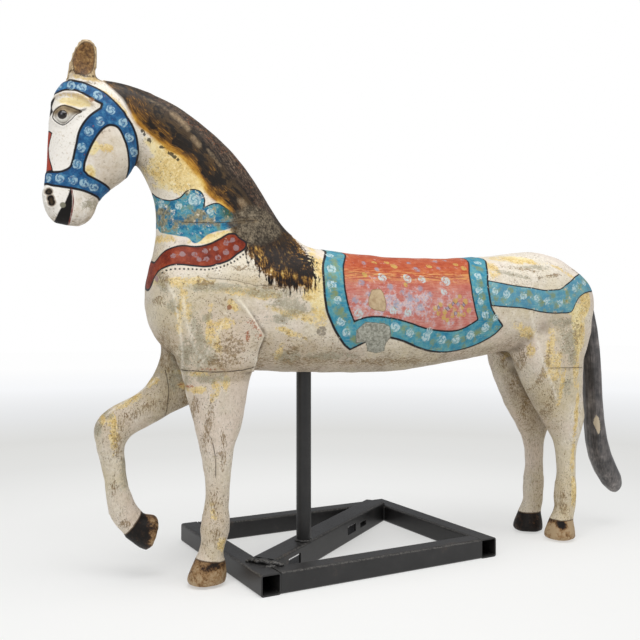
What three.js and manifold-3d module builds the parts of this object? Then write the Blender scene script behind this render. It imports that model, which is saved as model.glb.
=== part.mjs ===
// A carved and painted wooden carousel horse, one foreleg raised, carried by a round steel post
// that stands on a welded frame of square tube. Millimetres, +Z up. The origin is on the post's
// axis at the height of the floor. The horse looks along -X and its left side faces -Y.
import * as THREE from "three";
import { mergeVertices } from "three/addons/utils/BufferGeometryUtils.js";
import Module from "manifold-3d";

const wasm = await Module();
wasm.setup();

// The carved figure
const horseHeight = 1000; // sole plane to the tips of the ears
const hoofClearance = 3; // the soles hang this far above the floor
const carvingSteps = 2; // rings between one carving section and the next

// The post
const postDiameter = 30;
const postWall = 3;
const postSocketDepth = 80; // how far the post reaches up into the belly
const postSides = 24;

// The stand's frame
const frameLength = 540;
const frameWidth = 430;
const frameTube = 40;
const frameWall = 3;
const tubeCornerRadius = 5;
const frontTubeCentre = 139; // post axis to the front cross tube's middle
const nearTubeCentre = 121; // post axis to the near rail's middle
const frameTurn = 5.75; // degrees between the horse and its frame, about the post

// The diagonal bar that carries the post: a channel, its open side away from the viewer
const barTube = 50;
const barWall = 4;
const barOverhang = 143; // post axis to the bar's cut end, over the front tube
const slots = [
  { place: -67, length: 50, bottom: 12, top: 37 }, // along the bar from the post, over the floor
  { place: 209, length: 46, bottom: 17, top: 35 },
  { place: 275, length: 34, bottom: 18, top: 29 },
];

// Fits
const clearance = 0.3; // between pieces that touch

// The underside of the barrel where the post enters it, in thousandths of the horse's height
const bellyAtPost = 385;

const unit = horseHeight / 1000;
const postTop = bellyAtPost * unit + hoofClearance + postSocketDepth;

const paints = {
  cream: new THREE.MeshStandardMaterial({ color: 0xd9cdb8, roughness: 0.6, metalness: 0 }),
  tailBlack: new THREE.MeshStandardMaterial({ color: 0x37302c, roughness: 0.55, metalness: 0 }),
  satinBlack: new THREE.MeshStandardMaterial({ color: 0x2c2c2e, roughness: 0.42, metalness: 0.2 }),
};

// Carving sections. Each row is one cut across a limb, in thousandths of the horse's height:
// x and z of one edge of the cut, x and z of the opposite edge, and half the width across it.
const trunkSections = [
  [-317, 556, -316, 506, 30],
  [-308, 598, -305, 468, 62],
  [-286, 632, -280, 436, 82],
  [-228, 655, -228, 410, 92],
  [-130, 655, -130, 394, 99],
  [0, 638, 0, bellyAtPost, 112],
  [105, 628, 105, 383, 116],
  [210, 624, 210, 384, 115],
  [315, 626, 315, 398, 112],
  [420, 634, 420, 413, 107],
  [490, 643, 485, 425, 106],
  [550, 650, 550, 440, 107],
  [602, 639, 605, 449, 103],
  [648, 615, 652, 459, 92],
  [684, 588, 688, 476, 72],
  [702, 562, 704, 500, 48],
  [709, 546, 709, 520, 22],
];

const neckSections = [
  [-314, 530, 40, 590, 80],
  [-316, 575, 26, 628, 80],
  [-309, 605, -16, 650, 78],
  [-303, 632, -50, 678, 73],
  [-300, 672, -98, 751, 64],
  [-303, 713, -150, 816, 56],
  [-318, 749, -205, 861, 50],
  [-334, 779, -262, 897, 46],
  [-350, 797, -318, 917, 43],
  [-380, 803, -378, 929, 40],
  [-402, 812, -414, 928, 33],
];

const headSections = [
  [-450, 931, -403, 929, 20],
  [-468, 919, -376, 916, 33],
  [-482, 899, -354, 892, 41],
  [-490, 870, -341, 860, 46],
  [-493, 840, -335, 824, 47],
  [-495, 808, -337, 785, 45],
  [-496, 774, -358, 749, 39],
  [-499, 738, -391, 724, 33],
  [-503, 708, -406, 704, 30],
  [-498, 685, -411, 686, 28],
  [-488, 670, -421, 670, 23],
  [-479, 662, -438, 660, 13],
];

const earSections = [
  [-462, 908, -408, 910, 9],
  [-461, 930, -413, 932, 10],
  [-459, 948, -411, 950, 10],
  [-454, 970, -410, 970, 10],
  [-446, 986, -412, 984, 8],
  [-436, 995, -420, 994, 4],
];

const standingForelegSections = [
  [-296, 530, -130, 536, 44],
  [-290, 459, -100, 459, 52],
  [-264, 399, -124, 397, 46],
  [-252, 347, -135, 347, 39],
  [-240, 297, -143, 297, 33],
  [-228, 247, -160, 247, 29],
  [-218, 197, -166, 197, 26],
  [-216, 162, -168, 162, 24],
  [-222, 125, -168, 123, 24],
  [-226, 97, -168, 97, 24],
  [-224, 77, -175, 77, 22],
  [-228, 59, -180, 55, 23],
  [-236, 28, -184, 24, 23],
];

const standingForehoofSections = [
  [-233, 52, -176, 42, 26],
  [-246, 26, -174, 20, 32],
  [-252, 8, -176, 4, 35],
  [-248, 0, -178, 0, 34],
];

const raisedForelegSections = [
  [-294, 530, -130, 536, 44],
  [-289, 468, -104, 452, 50],
  [-281, 436, -140, 378, 46],
  [-288, 402, -205, 332, 40],
  [-308, 366, -262, 308, 34],
  [-345, 342, -303, 286, 29],
  [-384, 324, -335, 269, 27],
  [-409, 297, -346, 259, 26],
  [-408, 263, -348, 245, 24],
  [-398, 225, -347, 219, 22],
  [-391, 189, -342, 187, 21],
  [-386, 157, -334, 157, 22],
  [-384, 133, -328, 141, 23],
  [-374, 111, -319, 129, 22],
  [-358, 90, -314, 120, 21],
  [-336, 72, -300, 112, 21],
];

const raisedForehoofSections = [
  [-351, 79, -308, 119, 25],
  [-330, 61, -297, 117, 31],
  [-311, 48, -286, 114, 34],
  [-303, 50, -285, 103, 30],
];

const hindlegSections = [
  [500, 517, 694, 527, 50],
  [474, 452, 688, 467, 58],
  [486, 402, 664, 402, 56],
  [512, 347, 663, 347, 48],
  [540, 297, 668, 297, 41],
  [558, 272, 672, 275, 38],
  [577, 247, 665, 247, 34],
  [595, 217, 651, 217, 27],
  [600, 192, 648, 192, 24],
  [602, 157, 648, 157, 23],
  [599, 122, 648, 122, 24],
  [597, 92, 647, 92, 24],
  [598, 69, 645, 69, 23],
  [592, 55, 640, 51, 24],
  [588, 28, 634, 24, 24],
];

const hindhoofSections = [
  [587, 50, 638, 40, 26],
  [577, 26, 640, 20, 33],
  [571, 8, 642, 4, 37],
  [574, 0, 640, 0, 36],
];

const tailSections = [
  [664, 555, 684, 589, 17],
  [688, 537, 712, 573, 20],
  [700, 507, 738, 521, 23],
  [706, 472, 748, 475, 25],
  [713, 427, 754, 427, 26],
  [719, 367, 758, 367, 27],
  [723, 307, 761, 307, 27],
  [726, 247, 767, 253, 28],
  [731, 202, 775, 213, 29],
  [741, 161, 787, 179, 29],
  [757, 127, 802, 151, 28],
  [778, 97, 820, 122, 24],
  [799, 79, 827, 101, 15],
  [811, 77, 823, 87, 6],
];

// Lateral places of the limbs, in thousandths of the height
const legSpread = 45;
const earSpread = 27;
const farHindStride = -19; // the far hind leg stands this far ahead of the near one
const tailCarving = { sides: 12, steps: 1 };

// A smooth closed body through a list of carving sections. Each ring is a rounded oval whose
// squareness grows with the exponent; grow adds a margin all round, for the seat of a fitted piece.
function carvedBody(sections, { side = 0, exponent = 2.2, sides = 14, steps = carvingSteps,
  grow = 0, shift = () => 0 } = {}) {
  const place = (x, z) => new THREE.Vector3((x + shift(z)) * unit, 0, z * unit + hoofClearance);
  const edgeA = new THREE.CatmullRomCurve3(sections.map((s) => place(s[0], s[1])));
  const edgeB = new THREE.CatmullRomCurve3(sections.map((s) => place(s[2], s[3])));
  const widths = new THREE.CatmullRomCurve3(
    sections.map((s, i) => new THREE.Vector3(s[4] * unit, i * horseHeight, 0)),
  );
  const rings = (sections.length - 1) * steps;
  const points = [];
  const centres = [];
  for (let i = 0; i <= rings; i++) {
    const a = edgeA.getPoint(i / rings);
    const b = edgeB.getPoint(i / rings);
    const width = widths.getPoint(i / rings).x + grow;
    const centre = a.clone().add(b).multiplyScalar(0.5);
    const reach = a.clone().sub(b).multiplyScalar(0.5);
    reach.setLength(reach.length() + grow);
    centre.y += side * unit;
    centres.push(centre);
    for (let k = 0; k < sides; k++) {
      const angle = (2 * Math.PI * k) / sides;
      const along = Math.sign(Math.cos(angle)) * Math.abs(Math.cos(angle)) ** (2 / exponent);
      const across = Math.sign(Math.sin(angle)) * Math.abs(Math.sin(angle)) ** (2 / exponent);
      const point = centre.clone().addScaledVector(reach, along);
      point.y += across * width;
      points.push(point);
    }
  }
  const first = centres[0].clone().sub(centres[1]).setLength(grow).add(centres[0]);
  const last = centres.at(-1).clone().sub(centres.at(-2)).setLength(grow).add(centres.at(-1));
  const firstIndex = points.push(first) - 1;
  const lastIndex = points.push(last) - 1;
  const faces = [];
  for (let k = 0; k < sides; k++) {
    const next = (k + 1) % sides;
    for (let i = 0; i < rings; i++) {
      const low = i * sides;
      const high = low + sides;
      faces.push(low + k, high + k, low + next, high + k, high + next, low + next);
    }
    faces.push(firstIndex, k, next);
    faces.push(lastIndex, rings * sides + next, rings * sides + k);
  }
  const geometry = new THREE.BufferGeometry().setFromPoints(points);
  geometry.setIndex(faces);
  return solid(geometry);
}

// A closed geometry as a solid, its faces turned outward.
function solid(geometry) {
  geometry.deleteAttribute("normal");
  geometry.deleteAttribute("uv");
  const merged = mergeVertices(geometry, 1e-4);
  const triVerts = new Uint32Array(merged.index.array);
  if (signedVolume(merged) < 0) triVerts.reverse();
  const vertProperties = merged.getAttribute("position").array;
  return new wasm.Manifold(new wasm.Mesh({ numProp: 3, vertProperties, triVerts }));
}

function signedVolume(geometry) {
  const position = geometry.getAttribute("position");
  const index = geometry.index.array;
  const [a, b, c] = [new THREE.Vector3(), new THREE.Vector3(), new THREE.Vector3()];
  let volume = 0;
  for (let i = 0; i < index.length; i += 3) {
    a.fromBufferAttribute(position, index[i]);
    b.fromBufferAttribute(position, index[i + 1]);
    c.fromBufferAttribute(position, index[i + 2]);
    volume += a.dot(b.cross(c)) / 6;
  }
  return volume;
}

function meshOf(shape, name, material) {
  const { vertProperties, triVerts, numProp } = shape.getMesh();
  const count = vertProperties.length / numProp;
  const positions = new Float32Array(count * 3);
  for (let i = 0; i < count; i++) {
    positions.set(vertProperties.subarray(i * numProp, i * numProp + 3), i * 3);
  }
  const geometry = new THREE.BufferGeometry();
  geometry.setAttribute("position", new THREE.BufferAttribute(positions, 3));
  geometry.setIndex(Array.from(triVerts));
  geometry.computeVertexNormals();
  const mesh = new THREE.Mesh(geometry, material);
  mesh.name = name;
  return mesh;
}

// A round upright bar or bore about the origin's axis.
function uprightCylinder(radius, bottom, top) {
  const geometry = new THREE.CylinderGeometry(radius, radius, top - bottom, postSides);
  geometry.rotateX(Math.PI / 2);
  geometry.translate(0, 0, (top + bottom) / 2);
  return solid(geometry);
}

// The outline of a square tube with round corners.
function roundedSquare(width, radius, Outline = THREE.Shape) {
  const h = width / 2;
  const outline = new Outline();
  outline.moveTo(h - radius, -h);
  outline.absarc(h - radius, -h + radius, radius, -Math.PI / 2, 0);
  outline.absarc(h - radius, h - radius, radius, 0, Math.PI / 2);
  outline.absarc(-h + radius, h - radius, radius, Math.PI / 2, Math.PI);
  outline.absarc(-h + radius, -h + radius, radius, Math.PI, 1.5 * Math.PI);
  return outline;
}

// A square tube along +X from the origin, its underside on z = 0.
function squareTube(width, wall, length) {
  const outline = roundedSquare(width, tubeCornerRadius);
  const innerRadius = Math.max(tubeCornerRadius - wall, tubeCornerRadius / 10);
  outline.holes.push(roundedSquare(width - 2 * wall, innerRadius, THREE.Path));
  const geometry = new THREE.ExtrudeGeometry(outline, {
    depth: length, bevelEnabled: false, curveSegments: 2,
  });
  geometry.rotateX(Math.PI / 2);
  geometry.rotateZ(Math.PI / 2);
  geometry.translate(0, 0, width / 2);
  return geometry;
}

// A rounded swelling or hollow of the head, in thousandths of the height.
function ellipsoid({ reach, at }) {
  const geometry = new THREE.SphereGeometry(unit, 12, 8);
  geometry.scale(...reach);
  geometry.translate(at[0] * unit, at[1] * unit, at[2] * unit + hoofClearance);
  return solid(geometry);
}

const earHollow = (side) => ellipsoid({ reach: [21, 9, 34], at: [-434, side * (earSpread + 10), 957] });
const eyeball = (side) => ellipsoid({ reach: [12, 9, 11], at: [-469, side * 33, 859] });
const nostril = (side) => ellipsoid({ reach: [8, 6, 13], at: [-490, side * 23, 704] });

function mouthCut() {
  const wedge = new THREE.Shape([
    new THREE.Vector2(-457, 726),
    new THREE.Vector2(-479, 655),
    new THREE.Vector2(-466, 655),
  ].map((p) => p.multiplyScalar(unit)));
  const geometry = new THREE.ExtrudeGeometry(wedge, { depth: 80 * unit, bevelEnabled: false });
  geometry.rotateX(Math.PI / 2);
  geometry.translate(0, 40 * unit, hoofClearance);
  return solid(geometry);
}

function carvedHorse() {
  const hoofCarving = { exponent: 2, steps: 1 };
  const strideShift = (z) => farHindStride * THREE.MathUtils.clamp((440 - z) / 190, 0, 1);
  const bodies = [
    carvedBody(neckSections, { sides: 18 }),
    carvedBody(headSections, { sides: 18 }),
    carvedBody(standingForelegSections, { side: -legSpread }),
    carvedBody(standingForehoofSections, { side: -legSpread, ...hoofCarving }),
    carvedBody(raisedForelegSections, { side: legSpread }),
    carvedBody(raisedForehoofSections, { side: legSpread, ...hoofCarving }),
    carvedBody(hindlegSections, { side: -legSpread, steps: 1 }),
    carvedBody(hindhoofSections, { side: -legSpread, ...hoofCarving }),
    carvedBody(hindlegSections, { side: legSpread, steps: 1, shift: strideShift }),
    carvedBody(hindhoofSections, { side: legSpread, shift: strideShift, ...hoofCarving }),
  ];
  for (const side of [-1, 1]) {
    const ear = carvedBody(earSections, { side: side * earSpread, sides: 12, steps: 1 });
    bodies.push(ear.subtract(earHollow(side)), eyeball(side));
  }
  const joined = bodies.reduce(
    (whole, body) => whole.add(body),
    carvedBody(trunkSections, { sides: 24, exponent: 2.4 }),
  );
  const postSocket = uprightCylinder(postDiameter / 2 + clearance, 0, postTop + clearance);
  const tailSeat = carvedBody(tailSections, { ...tailCarving, grow: clearance });
  const cuts = [mouthCut(), nostril(-1), nostril(1), tailSeat, postSocket];
  const carved = cuts.reduce((rest, cut) => rest.subtract(cut), joined);
  return meshOf(carved, "horse", paints.cream);
}

function carvedTail() {
  return meshOf(carvedBody(tailSections, tailCarving), "tail", paints.tailBlack);
}

function post() {
  const outer = postDiameter / 2;
  const inner = outer - postWall;
  const bottom = barTube + clearance;
  const profile = [
    [inner, bottom],
    [outer, bottom],
    [outer, postTop],
    [inner, postTop],
    [inner, bottom],
  ].map(([r, z]) => new THREE.Vector2(r, z));
  const geometry = new THREE.LatheGeometry(profile, postSides);
  geometry.rotateX(Math.PI / 2);
  return meshOf(solid(geometry), "post", paints.satinBlack);
}

// The frame's four tubes; the cross tubes run its whole width and the rails butt between them.
const frontCentre = -frontTubeCentre;
const rearCentre = frontCentre + frameLength - frameTube;
const nearCentre = -nearTubeCentre;
const farCentre = nearCentre + frameWidth - frameTube;

function crossbar(name, centre) {
  const geometry = squareTube(frameTube, frameWall, frameWidth);
  geometry.rotateZ(Math.PI / 2);
  geometry.translate(centre, nearCentre - frameTube / 2, 0);
  return meshOf(solid(geometry), name, paints.satinBlack);
}

function rail(name, centre) {
  const length = frameLength - 2 * (frameTube + clearance);
  const geometry = squareTube(frameTube, frameWall, length);
  geometry.translate(frontCentre + frameTube / 2 + clearance, centre, 0);
  return meshOf(solid(geometry), name, paints.satinBlack);
}

// Room for the frame under the bar's ends: all that lies lower than the frame's tubes and past
// their inner sides.
function frameRoom() {
  const span = frameLength + frameWidth;
  const inward = frameTube / 2 + clearance - span / 2;
  const places = [
    [frontCentre + inward, 0],
    [rearCentre - inward, 0],
    [0, nearCentre + inward],
    [0, farCentre - inward],
  ];
  return places.map(([x, y]) => {
    const room = new THREE.BoxGeometry(span, span, 2 * (frameTube + clearance));
    room.translate(x, y, 0);
    return solid(room);
  });
}

// The bar's near side ends against the rear tube. It passes the post's axis so that the post
// stands flush with its near side, and its cut end rests over the front tube.
function diagonalBar() {
  const cornerReach = Math.hypot(rearCentre, farCentre);
  const offset = barTube / 2 - postDiameter / 2;
  const angle = Math.atan2(farCentre, rearCentre) - Math.asin(offset / cornerReach);
  const rearFace = rearCentre - frameTube / 2 - clearance;
  const reach = (rearFace - (postDiameter / 2) * Math.sin(angle)) / Math.cos(angle);
  const bar = squareTube(barTube, barWall, barOverhang + reach);
  bar.translate(-barOverhang, offset, 0);
  const mouth = new THREE.BoxGeometry(3 * reach, barTube, barTube - 2 * barWall);
  mouth.translate(0, offset + barWall, barTube / 2);
  let shape = solid(bar).subtract(solid(mouth));
  for (const slot of slots) {
    const punch = new THREE.BoxGeometry(slot.length, barTube * 2, slot.top - slot.bottom);
    punch.translate(slot.place, offset, (slot.top + slot.bottom) / 2);
    shape = shape.subtract(solid(punch));
  }
  const turned = shape.rotate([0, 0, THREE.MathUtils.radToDeg(angle)]);
  const notched = frameRoom().reduce((rest, room) => rest.subtract(room), turned);
  return meshOf(notched, "diagonal_bar", paints.satinBlack);
}

const stand = new THREE.Group();
stand.rotation.z = THREE.MathUtils.degToRad(frameTurn);
stand.add(
  crossbar("front_crossbar", frontCentre),
  crossbar("rear_crossbar", rearCentre),
  rail("near_rail", nearCentre),
  rail("far_rail", farCentre),
  diagonalBar(),
);

const carousel = new THREE.Group();
carousel.add(carvedHorse(), carvedTail(), post(), stand);

export default carousel;
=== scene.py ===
# The looks of a carved and painted wooden carousel horse on its welded steel stand.
# Lengths are in metres unless a name ends in _mm. Outlines of paint are drawn on the horse's side,
# in millimetres: how far behind the post's axis, then how high over the floor.
import math

import bmesh
import bpy
import numpy as np
from mathutils import Matrix, Vector


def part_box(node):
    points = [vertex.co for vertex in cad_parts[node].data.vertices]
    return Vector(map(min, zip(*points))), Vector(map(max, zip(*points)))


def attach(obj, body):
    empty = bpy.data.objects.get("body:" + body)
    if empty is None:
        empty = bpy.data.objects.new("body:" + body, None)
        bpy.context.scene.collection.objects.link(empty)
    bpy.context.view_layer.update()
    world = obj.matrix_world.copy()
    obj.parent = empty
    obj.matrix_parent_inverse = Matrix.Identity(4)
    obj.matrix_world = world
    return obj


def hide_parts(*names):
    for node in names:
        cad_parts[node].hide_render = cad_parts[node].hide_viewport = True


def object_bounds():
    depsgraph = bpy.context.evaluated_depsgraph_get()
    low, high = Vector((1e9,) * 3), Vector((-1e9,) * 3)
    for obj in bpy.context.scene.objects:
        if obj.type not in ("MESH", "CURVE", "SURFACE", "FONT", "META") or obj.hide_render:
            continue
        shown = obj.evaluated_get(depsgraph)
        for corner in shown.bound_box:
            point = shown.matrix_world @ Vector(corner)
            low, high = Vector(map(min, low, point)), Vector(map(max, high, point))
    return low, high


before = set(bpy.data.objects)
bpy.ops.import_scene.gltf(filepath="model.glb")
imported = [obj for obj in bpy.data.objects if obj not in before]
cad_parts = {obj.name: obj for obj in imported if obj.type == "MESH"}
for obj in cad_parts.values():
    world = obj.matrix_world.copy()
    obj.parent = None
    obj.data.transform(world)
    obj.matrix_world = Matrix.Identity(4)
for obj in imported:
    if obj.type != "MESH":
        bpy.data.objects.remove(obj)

cad_box = [list(corner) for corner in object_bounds()]
MM = 0.001

# The carved figure
body_grid = 5.35 * MM
tail_grid = 2.6 * MM
weld_grid = 0.9 * MM
broad_smoothing = 20
fine_smoothing = 4
strap_relief_mm = 0.9
blanket_relief_mm = 1.2
elbow_relief_mm = 8.0
hand_carving_mm = 0.8
crest_rise_mm = 1.6
seam_cut_mm = 1.0
bead_spacing_mm = 7.4
far_away = 60.0  # mm, where a painted thing no longer counts

# The glass of the eye
eye_centre_mm = (-472, 855)
eye_radius = 12 * MM
iris_radius = 8 * MM
iris_bulge = 1.2 * MM

# The stand
post_radius = 15 * MM
post_wall = 3 * MM
tube = 40  # the square tube of the frame, in mm
bar_height = 50 * MM
frame_turn = math.radians(5.75)
bar_turn = math.radians(35.42)  # between the bar and the frame's rails
bar_end_mm = 143  # from the post's axis to the bar's cut end
weld_pitch = 3.2 * MM

# The photograph: a camera on a tripod, level with the horse's chest
camera_place = (-0.606, -1.512, 0.483)
camera_turn = math.radians(-23.0)
camera_pitch = math.radians(0.42)
camera_lens = 45.2

seed = np.random.default_rng(7)


def colour(code):
    """An sRGB hex colour as linear red, green, blue and alpha."""
    parts = [int(code[i:i + 2], 16) / 255 for i in (1, 3, 5)]
    return [p / 12.92 if p <= 0.04045 else ((p + 0.055) / 1.055) ** 2.4 for p in parts] + [1]


def curve(points, steps=5):
    """More points along a smooth line through a few."""
    p = np.array([points[0], *points, points[-1]], float)
    t = np.linspace(0, 1, steps, endpoint=False)[:, None]
    runs = []
    for a, b, c, d in zip(p, p[1:], p[2:], p[3:]):
        runs.append(0.5 * (2 * b + (c - a) * t + (2 * a - 5 * b + 4 * c - d) * t ** 2
                           + (3 * b - a - 3 * c + d) * t ** 3))
    return [tuple(q) for q in np.vstack([*runs, p[-1:]])]


# The bridle: a browband, a cheek strap, a throat strap and a noseband, round one open cheek.
bridle_line = (
    [(-560, 960), (-500, 940)]
    + curve([(-470, 921), (-450, 917), (-433, 914), (-406, 904), (-386, 890), (-365, 868)])
    + curve([(-362, 862), (-353, 849), (-346, 835), (-341, 819), (-338, 799), (-340, 781),
             (-344, 750)])
    + curve([(-357, 752), (-354, 776), (-359, 806), (-365, 821), (-373, 836), (-382, 842),
             (-395, 841), (-409, 828), (-424, 802), (-434, 774), (-435, 758)])
    + [(-428, 751), (-397, 738), (-370, 724), (-390, 700)]
    + curve([(-409, 716), (-421, 720), (-436, 724), (-455, 727), (-486, 731), (-499, 735),
             (-540, 736)])
    + curve([(-540, 757), (-497, 756), (-476, 755), (-460, 762), (-455, 773), (-449, 802),
             (-443, 829), (-428, 853), (-407, 871)])
    + curve([(-405, 879), (-417, 884), (-437, 895), (-450, 900), (-467, 901), (-483, 897),
             (-530, 890)])
)
bridle_rosettes = [
    (-477, 911), (-458, 909), (-439, 906), (-412, 894), (-390, 870), (-409, 847), (-428, 827),
    (-440, 798), (-447, 769), (-454, 741), (-476, 743), (-494, 746), (-434, 737), (-417, 731),
    (-368, 850), (-356, 825), (-347, 801)
]

# The face
lid_line = curve([(-487, 852), (-484, 864), (-472, 871), (-460, 869), (-449, 865), (-440, 861),
                  (-450, 855), (-458, 846), (-470, 837), (-481, 843), (-487, 852)])
brow_line = curve([(-488, 882), (-482, 890), (-467, 894), (-451, 892), (-434, 884), (-422, 876)])
lid_tail_line = curve([(-443, 862), (-434, 866)])
blaze_line = [
    (-540, 838), (-495, 834), (-488, 824), (-491, 812), (-493, 798), (-492, 781), (-487, 758),
    (-540, 754)
]
forelock_line = curve([(-491, 857), (-493, 870), (-488, 885), (-482, 889), (-487, 874), (-487, 862),
                       (-491, 857)])
mouth_line = [
    (-457, 729), (-454, 712), (-454, 696), (-458, 670), (-463, 650), (-488, 650), (-482, 672),
    (-474, 690), (-466, 702), (-461, 716)
]
lip_line = curve([(-456, 727), (-453, 712), (-453, 696), (-457, 672), (-461, 655)])
nostrils = [(-493, 720, 5.5), (-490, 708, 5.5), (-488, 701, 5.5)]
lip_knob = (-470, 697, 5)
mouth_gap = [(-456, 722), (-477, 667), (-461, 667)]
ear_base_line = [(-466, 923), (-456, 938), (-449, 935), (-439, 928), (-414, 930), (-404, 926)]
ear_hollow_line = curve([(-450, 930), (-454, 950), (-450, 970), (-441, 984), (-430, 990), (-420, 984),
                         (-417, 966), (-419, 946), (-428, 932), (-450, 930)])

# The neck, from the poll down to the brush of the mane over the shoulder
mane_line = (
    [(-398, 960), (-400, 925)]
    + curve([(-391, 915), (-374, 900), (-363, 884), (-351, 860), (-342, 846), (-328, 836),
             (-307, 820), (-290, 805), (-270, 796), (-257, 783), (-241, 765), (-227, 744),
             (-219, 728), (-206, 716), (-190, 706), (-178, 692), (-175, 660), (-154, 631),
             (-143, 607), (-129, 587), (-113, 571), (-97, 559), (-68, 551), (-47, 549),
             (-21, 552), (-15, 573), (-16, 611), (-20, 632), (-27, 650)])
    + [(0, 720), (-150, 960)]
)
mane_edge = curve([(-405, 930), (-391, 915), (-374, 900), (-363, 884), (-351, 860), (-328, 836),
                   (-307, 820), (-290, 805), (-270, 796), (-241, 765), (-227, 744), (-206, 716),
                   (-178, 692), (-160, 645), (-129, 587), (-97, 559), (-47, 549)])
bare_strokes = [
    ([(-276, 876), (-262, 865), (-250, 852)], 6), ([(-240, 833), (-230, 821)], 5),
    ([(-212, 812), (-200, 799), (-190, 784)], 2), ([(-330, 903), (-305, 893), (-285, 882)], 1),
    ([(-175, 694), (-172, 690)], 4), ([(-152, 718), (-143, 708)], 7)
]
mane_dabs = [
    (-333, 838, 4), (-329, 831, 3), (-321, 823, 4), (-318, 819, 3), (-299, 811, 4), (-294, 809, 3),
    (-287, 802, 3), (-281, 799, 4), (-275, 794, 4), (-269, 789, 3)
]
collar_line = (
    [(-380, 792)]
    + curve([(-337, 780), (-322, 754), (-310, 737), (-302, 724), (-290, 716), (-276, 715),
             (-263, 721), (-256, 730), (-242, 735), (-229, 731), (-222, 717), (-225, 703),
             (-231, 697)])
    + curve([(-231, 697), (-219, 704), (-200, 711), (-183, 703), (-165, 688), (-160, 672)])
    + curve([(-176, 664), (-190, 660), (-204, 657), (-220, 650), (-234, 637), (-244, 635),
             (-253, 645), (-270, 649), (-284, 652), (-296, 658), (-301, 666), (-340, 668)])
)
collar_rosettes = [(-240, 716, 12), (-295, 709, 8), (-268, 704, 7), (-212, 694, 7)]
breast_line = (
    [(-350, 560), (-350, 640), (-311, 618), (-307, 600)]
    + curve([(-307, 600), (-295, 617), (-281, 626), (-263, 630), (-241, 628), (-217, 633),
             (-196, 644), (-179, 654), (-166, 654)])
    + curve([(-160, 647), (-146, 638), (-150, 627), (-163, 618), (-182, 604), (-204, 596),
             (-224, 591), (-244, 592), (-264, 594), (-283, 594), (-297, 589), (-305, 583)])
    + curve([(-305, 583), (-310, 573), (-314, 559), (-319, 542)])
)
breast_rosettes = [
    (-281, 611, 6), (-265, 614, 6), (-244, 613, 6), (-225, 620, 6), (-223, 605, 5), (-205, 625, 5),
    (-202, 608, 6), (-185, 637, 6), (-186, 619, 6), (-167, 628, 6), (-237, 604, 5), (-308, 569, 6),
    (-172, 643, 5)
]
bead_line = [
    (-303, 577), (-296, 583), (-283, 586), (-251, 586), (-225, 585), (-196, 591), (-170, 603),
    (-152, 617)
]

# The saddle cloth and the strap to the tail
cloth_line = (
    [(34, 700)]
    + curve([(28, 632), (7, 607), (0, 580), (-1, 546), (2, 516), (12, 491), (24, 470), (41, 449),
             (57, 437)])
    + curve([(57, 437), (85, 451), (109, 460), (139, 460), (170, 453), (197, 443), (233, 433),
             (268, 429), (302, 431), (339, 439), (369, 451), (394, 465), (412, 483)])
    + curve([(412, 483), (396, 499), (381, 517), (374, 538), (373, 571), (384, 602), (400, 624)])
    + [(406, 700)]
)
panel_line = (
    [(74, 700)]
    + curve([(68, 626), (49, 604), (42, 577), (42, 547), (48, 517), (59, 491)])
    + curve([(59, 491), (78, 498), (102, 501), (131, 499), (156, 495), (187, 487), (218, 478),
             (255, 473), (288, 473), (314, 480), (344, 496)])
    + curve([(344, 496), (335, 524), (331, 556), (336, 594), (356, 624)])
    + [(362, 700)]
)
crupper_line = (
    curve([(368, 579), (403, 574), (430, 570), (486, 564), (514, 560), (544, 561), (562, 563),
           (575, 571), (598, 584), (620, 595), (650, 601), (690, 596), (740, 590)])
    + curve([(740, 560), (700, 562), (671, 561), (640, 557), (618, 547), (605, 532), (593, 514),
             (565, 511), (533, 511), (503, 514), (462, 521), (421, 523), (368, 526)])
)
cloth_rosettes = [
    (28, 622, 9), (20, 593, 10), (15, 563, 10), (24, 533, 8), (32, 491, 9), (44, 470, 9),
    (148, 481, 10), (182, 469, 10), (220, 460, 10), (260, 455, 10), (296, 455, 10), (330, 463, 10),
    (366, 480, 10), (362, 506, 9), (350, 533, 8), (349, 556, 9), (354, 587, 9), (374, 618, 9),
    (389, 556, 8), (419, 551, 9), (462, 547, 8), (496, 542, 8), (524, 536, 8), (560, 532, 8),
    (603, 566, 9), (640, 580, 8), (391, 500, 8)
]
cloth_olives = [
    (29, 608, 11), (18, 577, 12), (17, 547, 12), (26, 512, 12), (38, 500, 9), (169, 478, 9),
    (202, 464, 9), (238, 450, 9), (277, 448, 9), (313, 455, 9), (347, 470, 10), (366, 603, 11),
    (355, 571, 11), (356, 545, 10), (360, 520, 9), (376, 491, 10), (396, 478, 7), (390, 541, 8),
    (431, 559, 8), (447, 537, 8), (477, 553, 8), (508, 530, 8), (540, 548, 9), (549, 526, 7),
    (581, 555, 8), (60, 458, 9), (575, 536, 8), (622, 572, 8), (652, 585, 8), (410, 538, 7)
]
panel_whites = [
    (126, 579, 10), (183, 578, 10), (217, 577, 9), (273, 575, 11), (263, 552, 8), (68, 506, 10),
    (176, 509, 8), (143, 512, 8), (228, 474, 8)
]
panel_blues = [
    (97, 608, 7), (120, 595, 6), (204, 612, 6), (213, 598, 9), (274, 618, 6), (266, 602, 6),
    (180, 540, 10), (197, 536, 7), (229, 547, 8), (208, 558, 7), (78, 567, 8), (61, 532, 8),
    (165, 549, 6), (300, 621, 6), (92, 545, 6), (247, 520, 4), (268, 518, 5), (282, 528, 4),
    (295, 527, 5), (288, 508, 4), (308, 526, 4), (150, 525, 9), (120, 532, 8), (205, 520, 9),
    (140, 560, 8)
]
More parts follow.
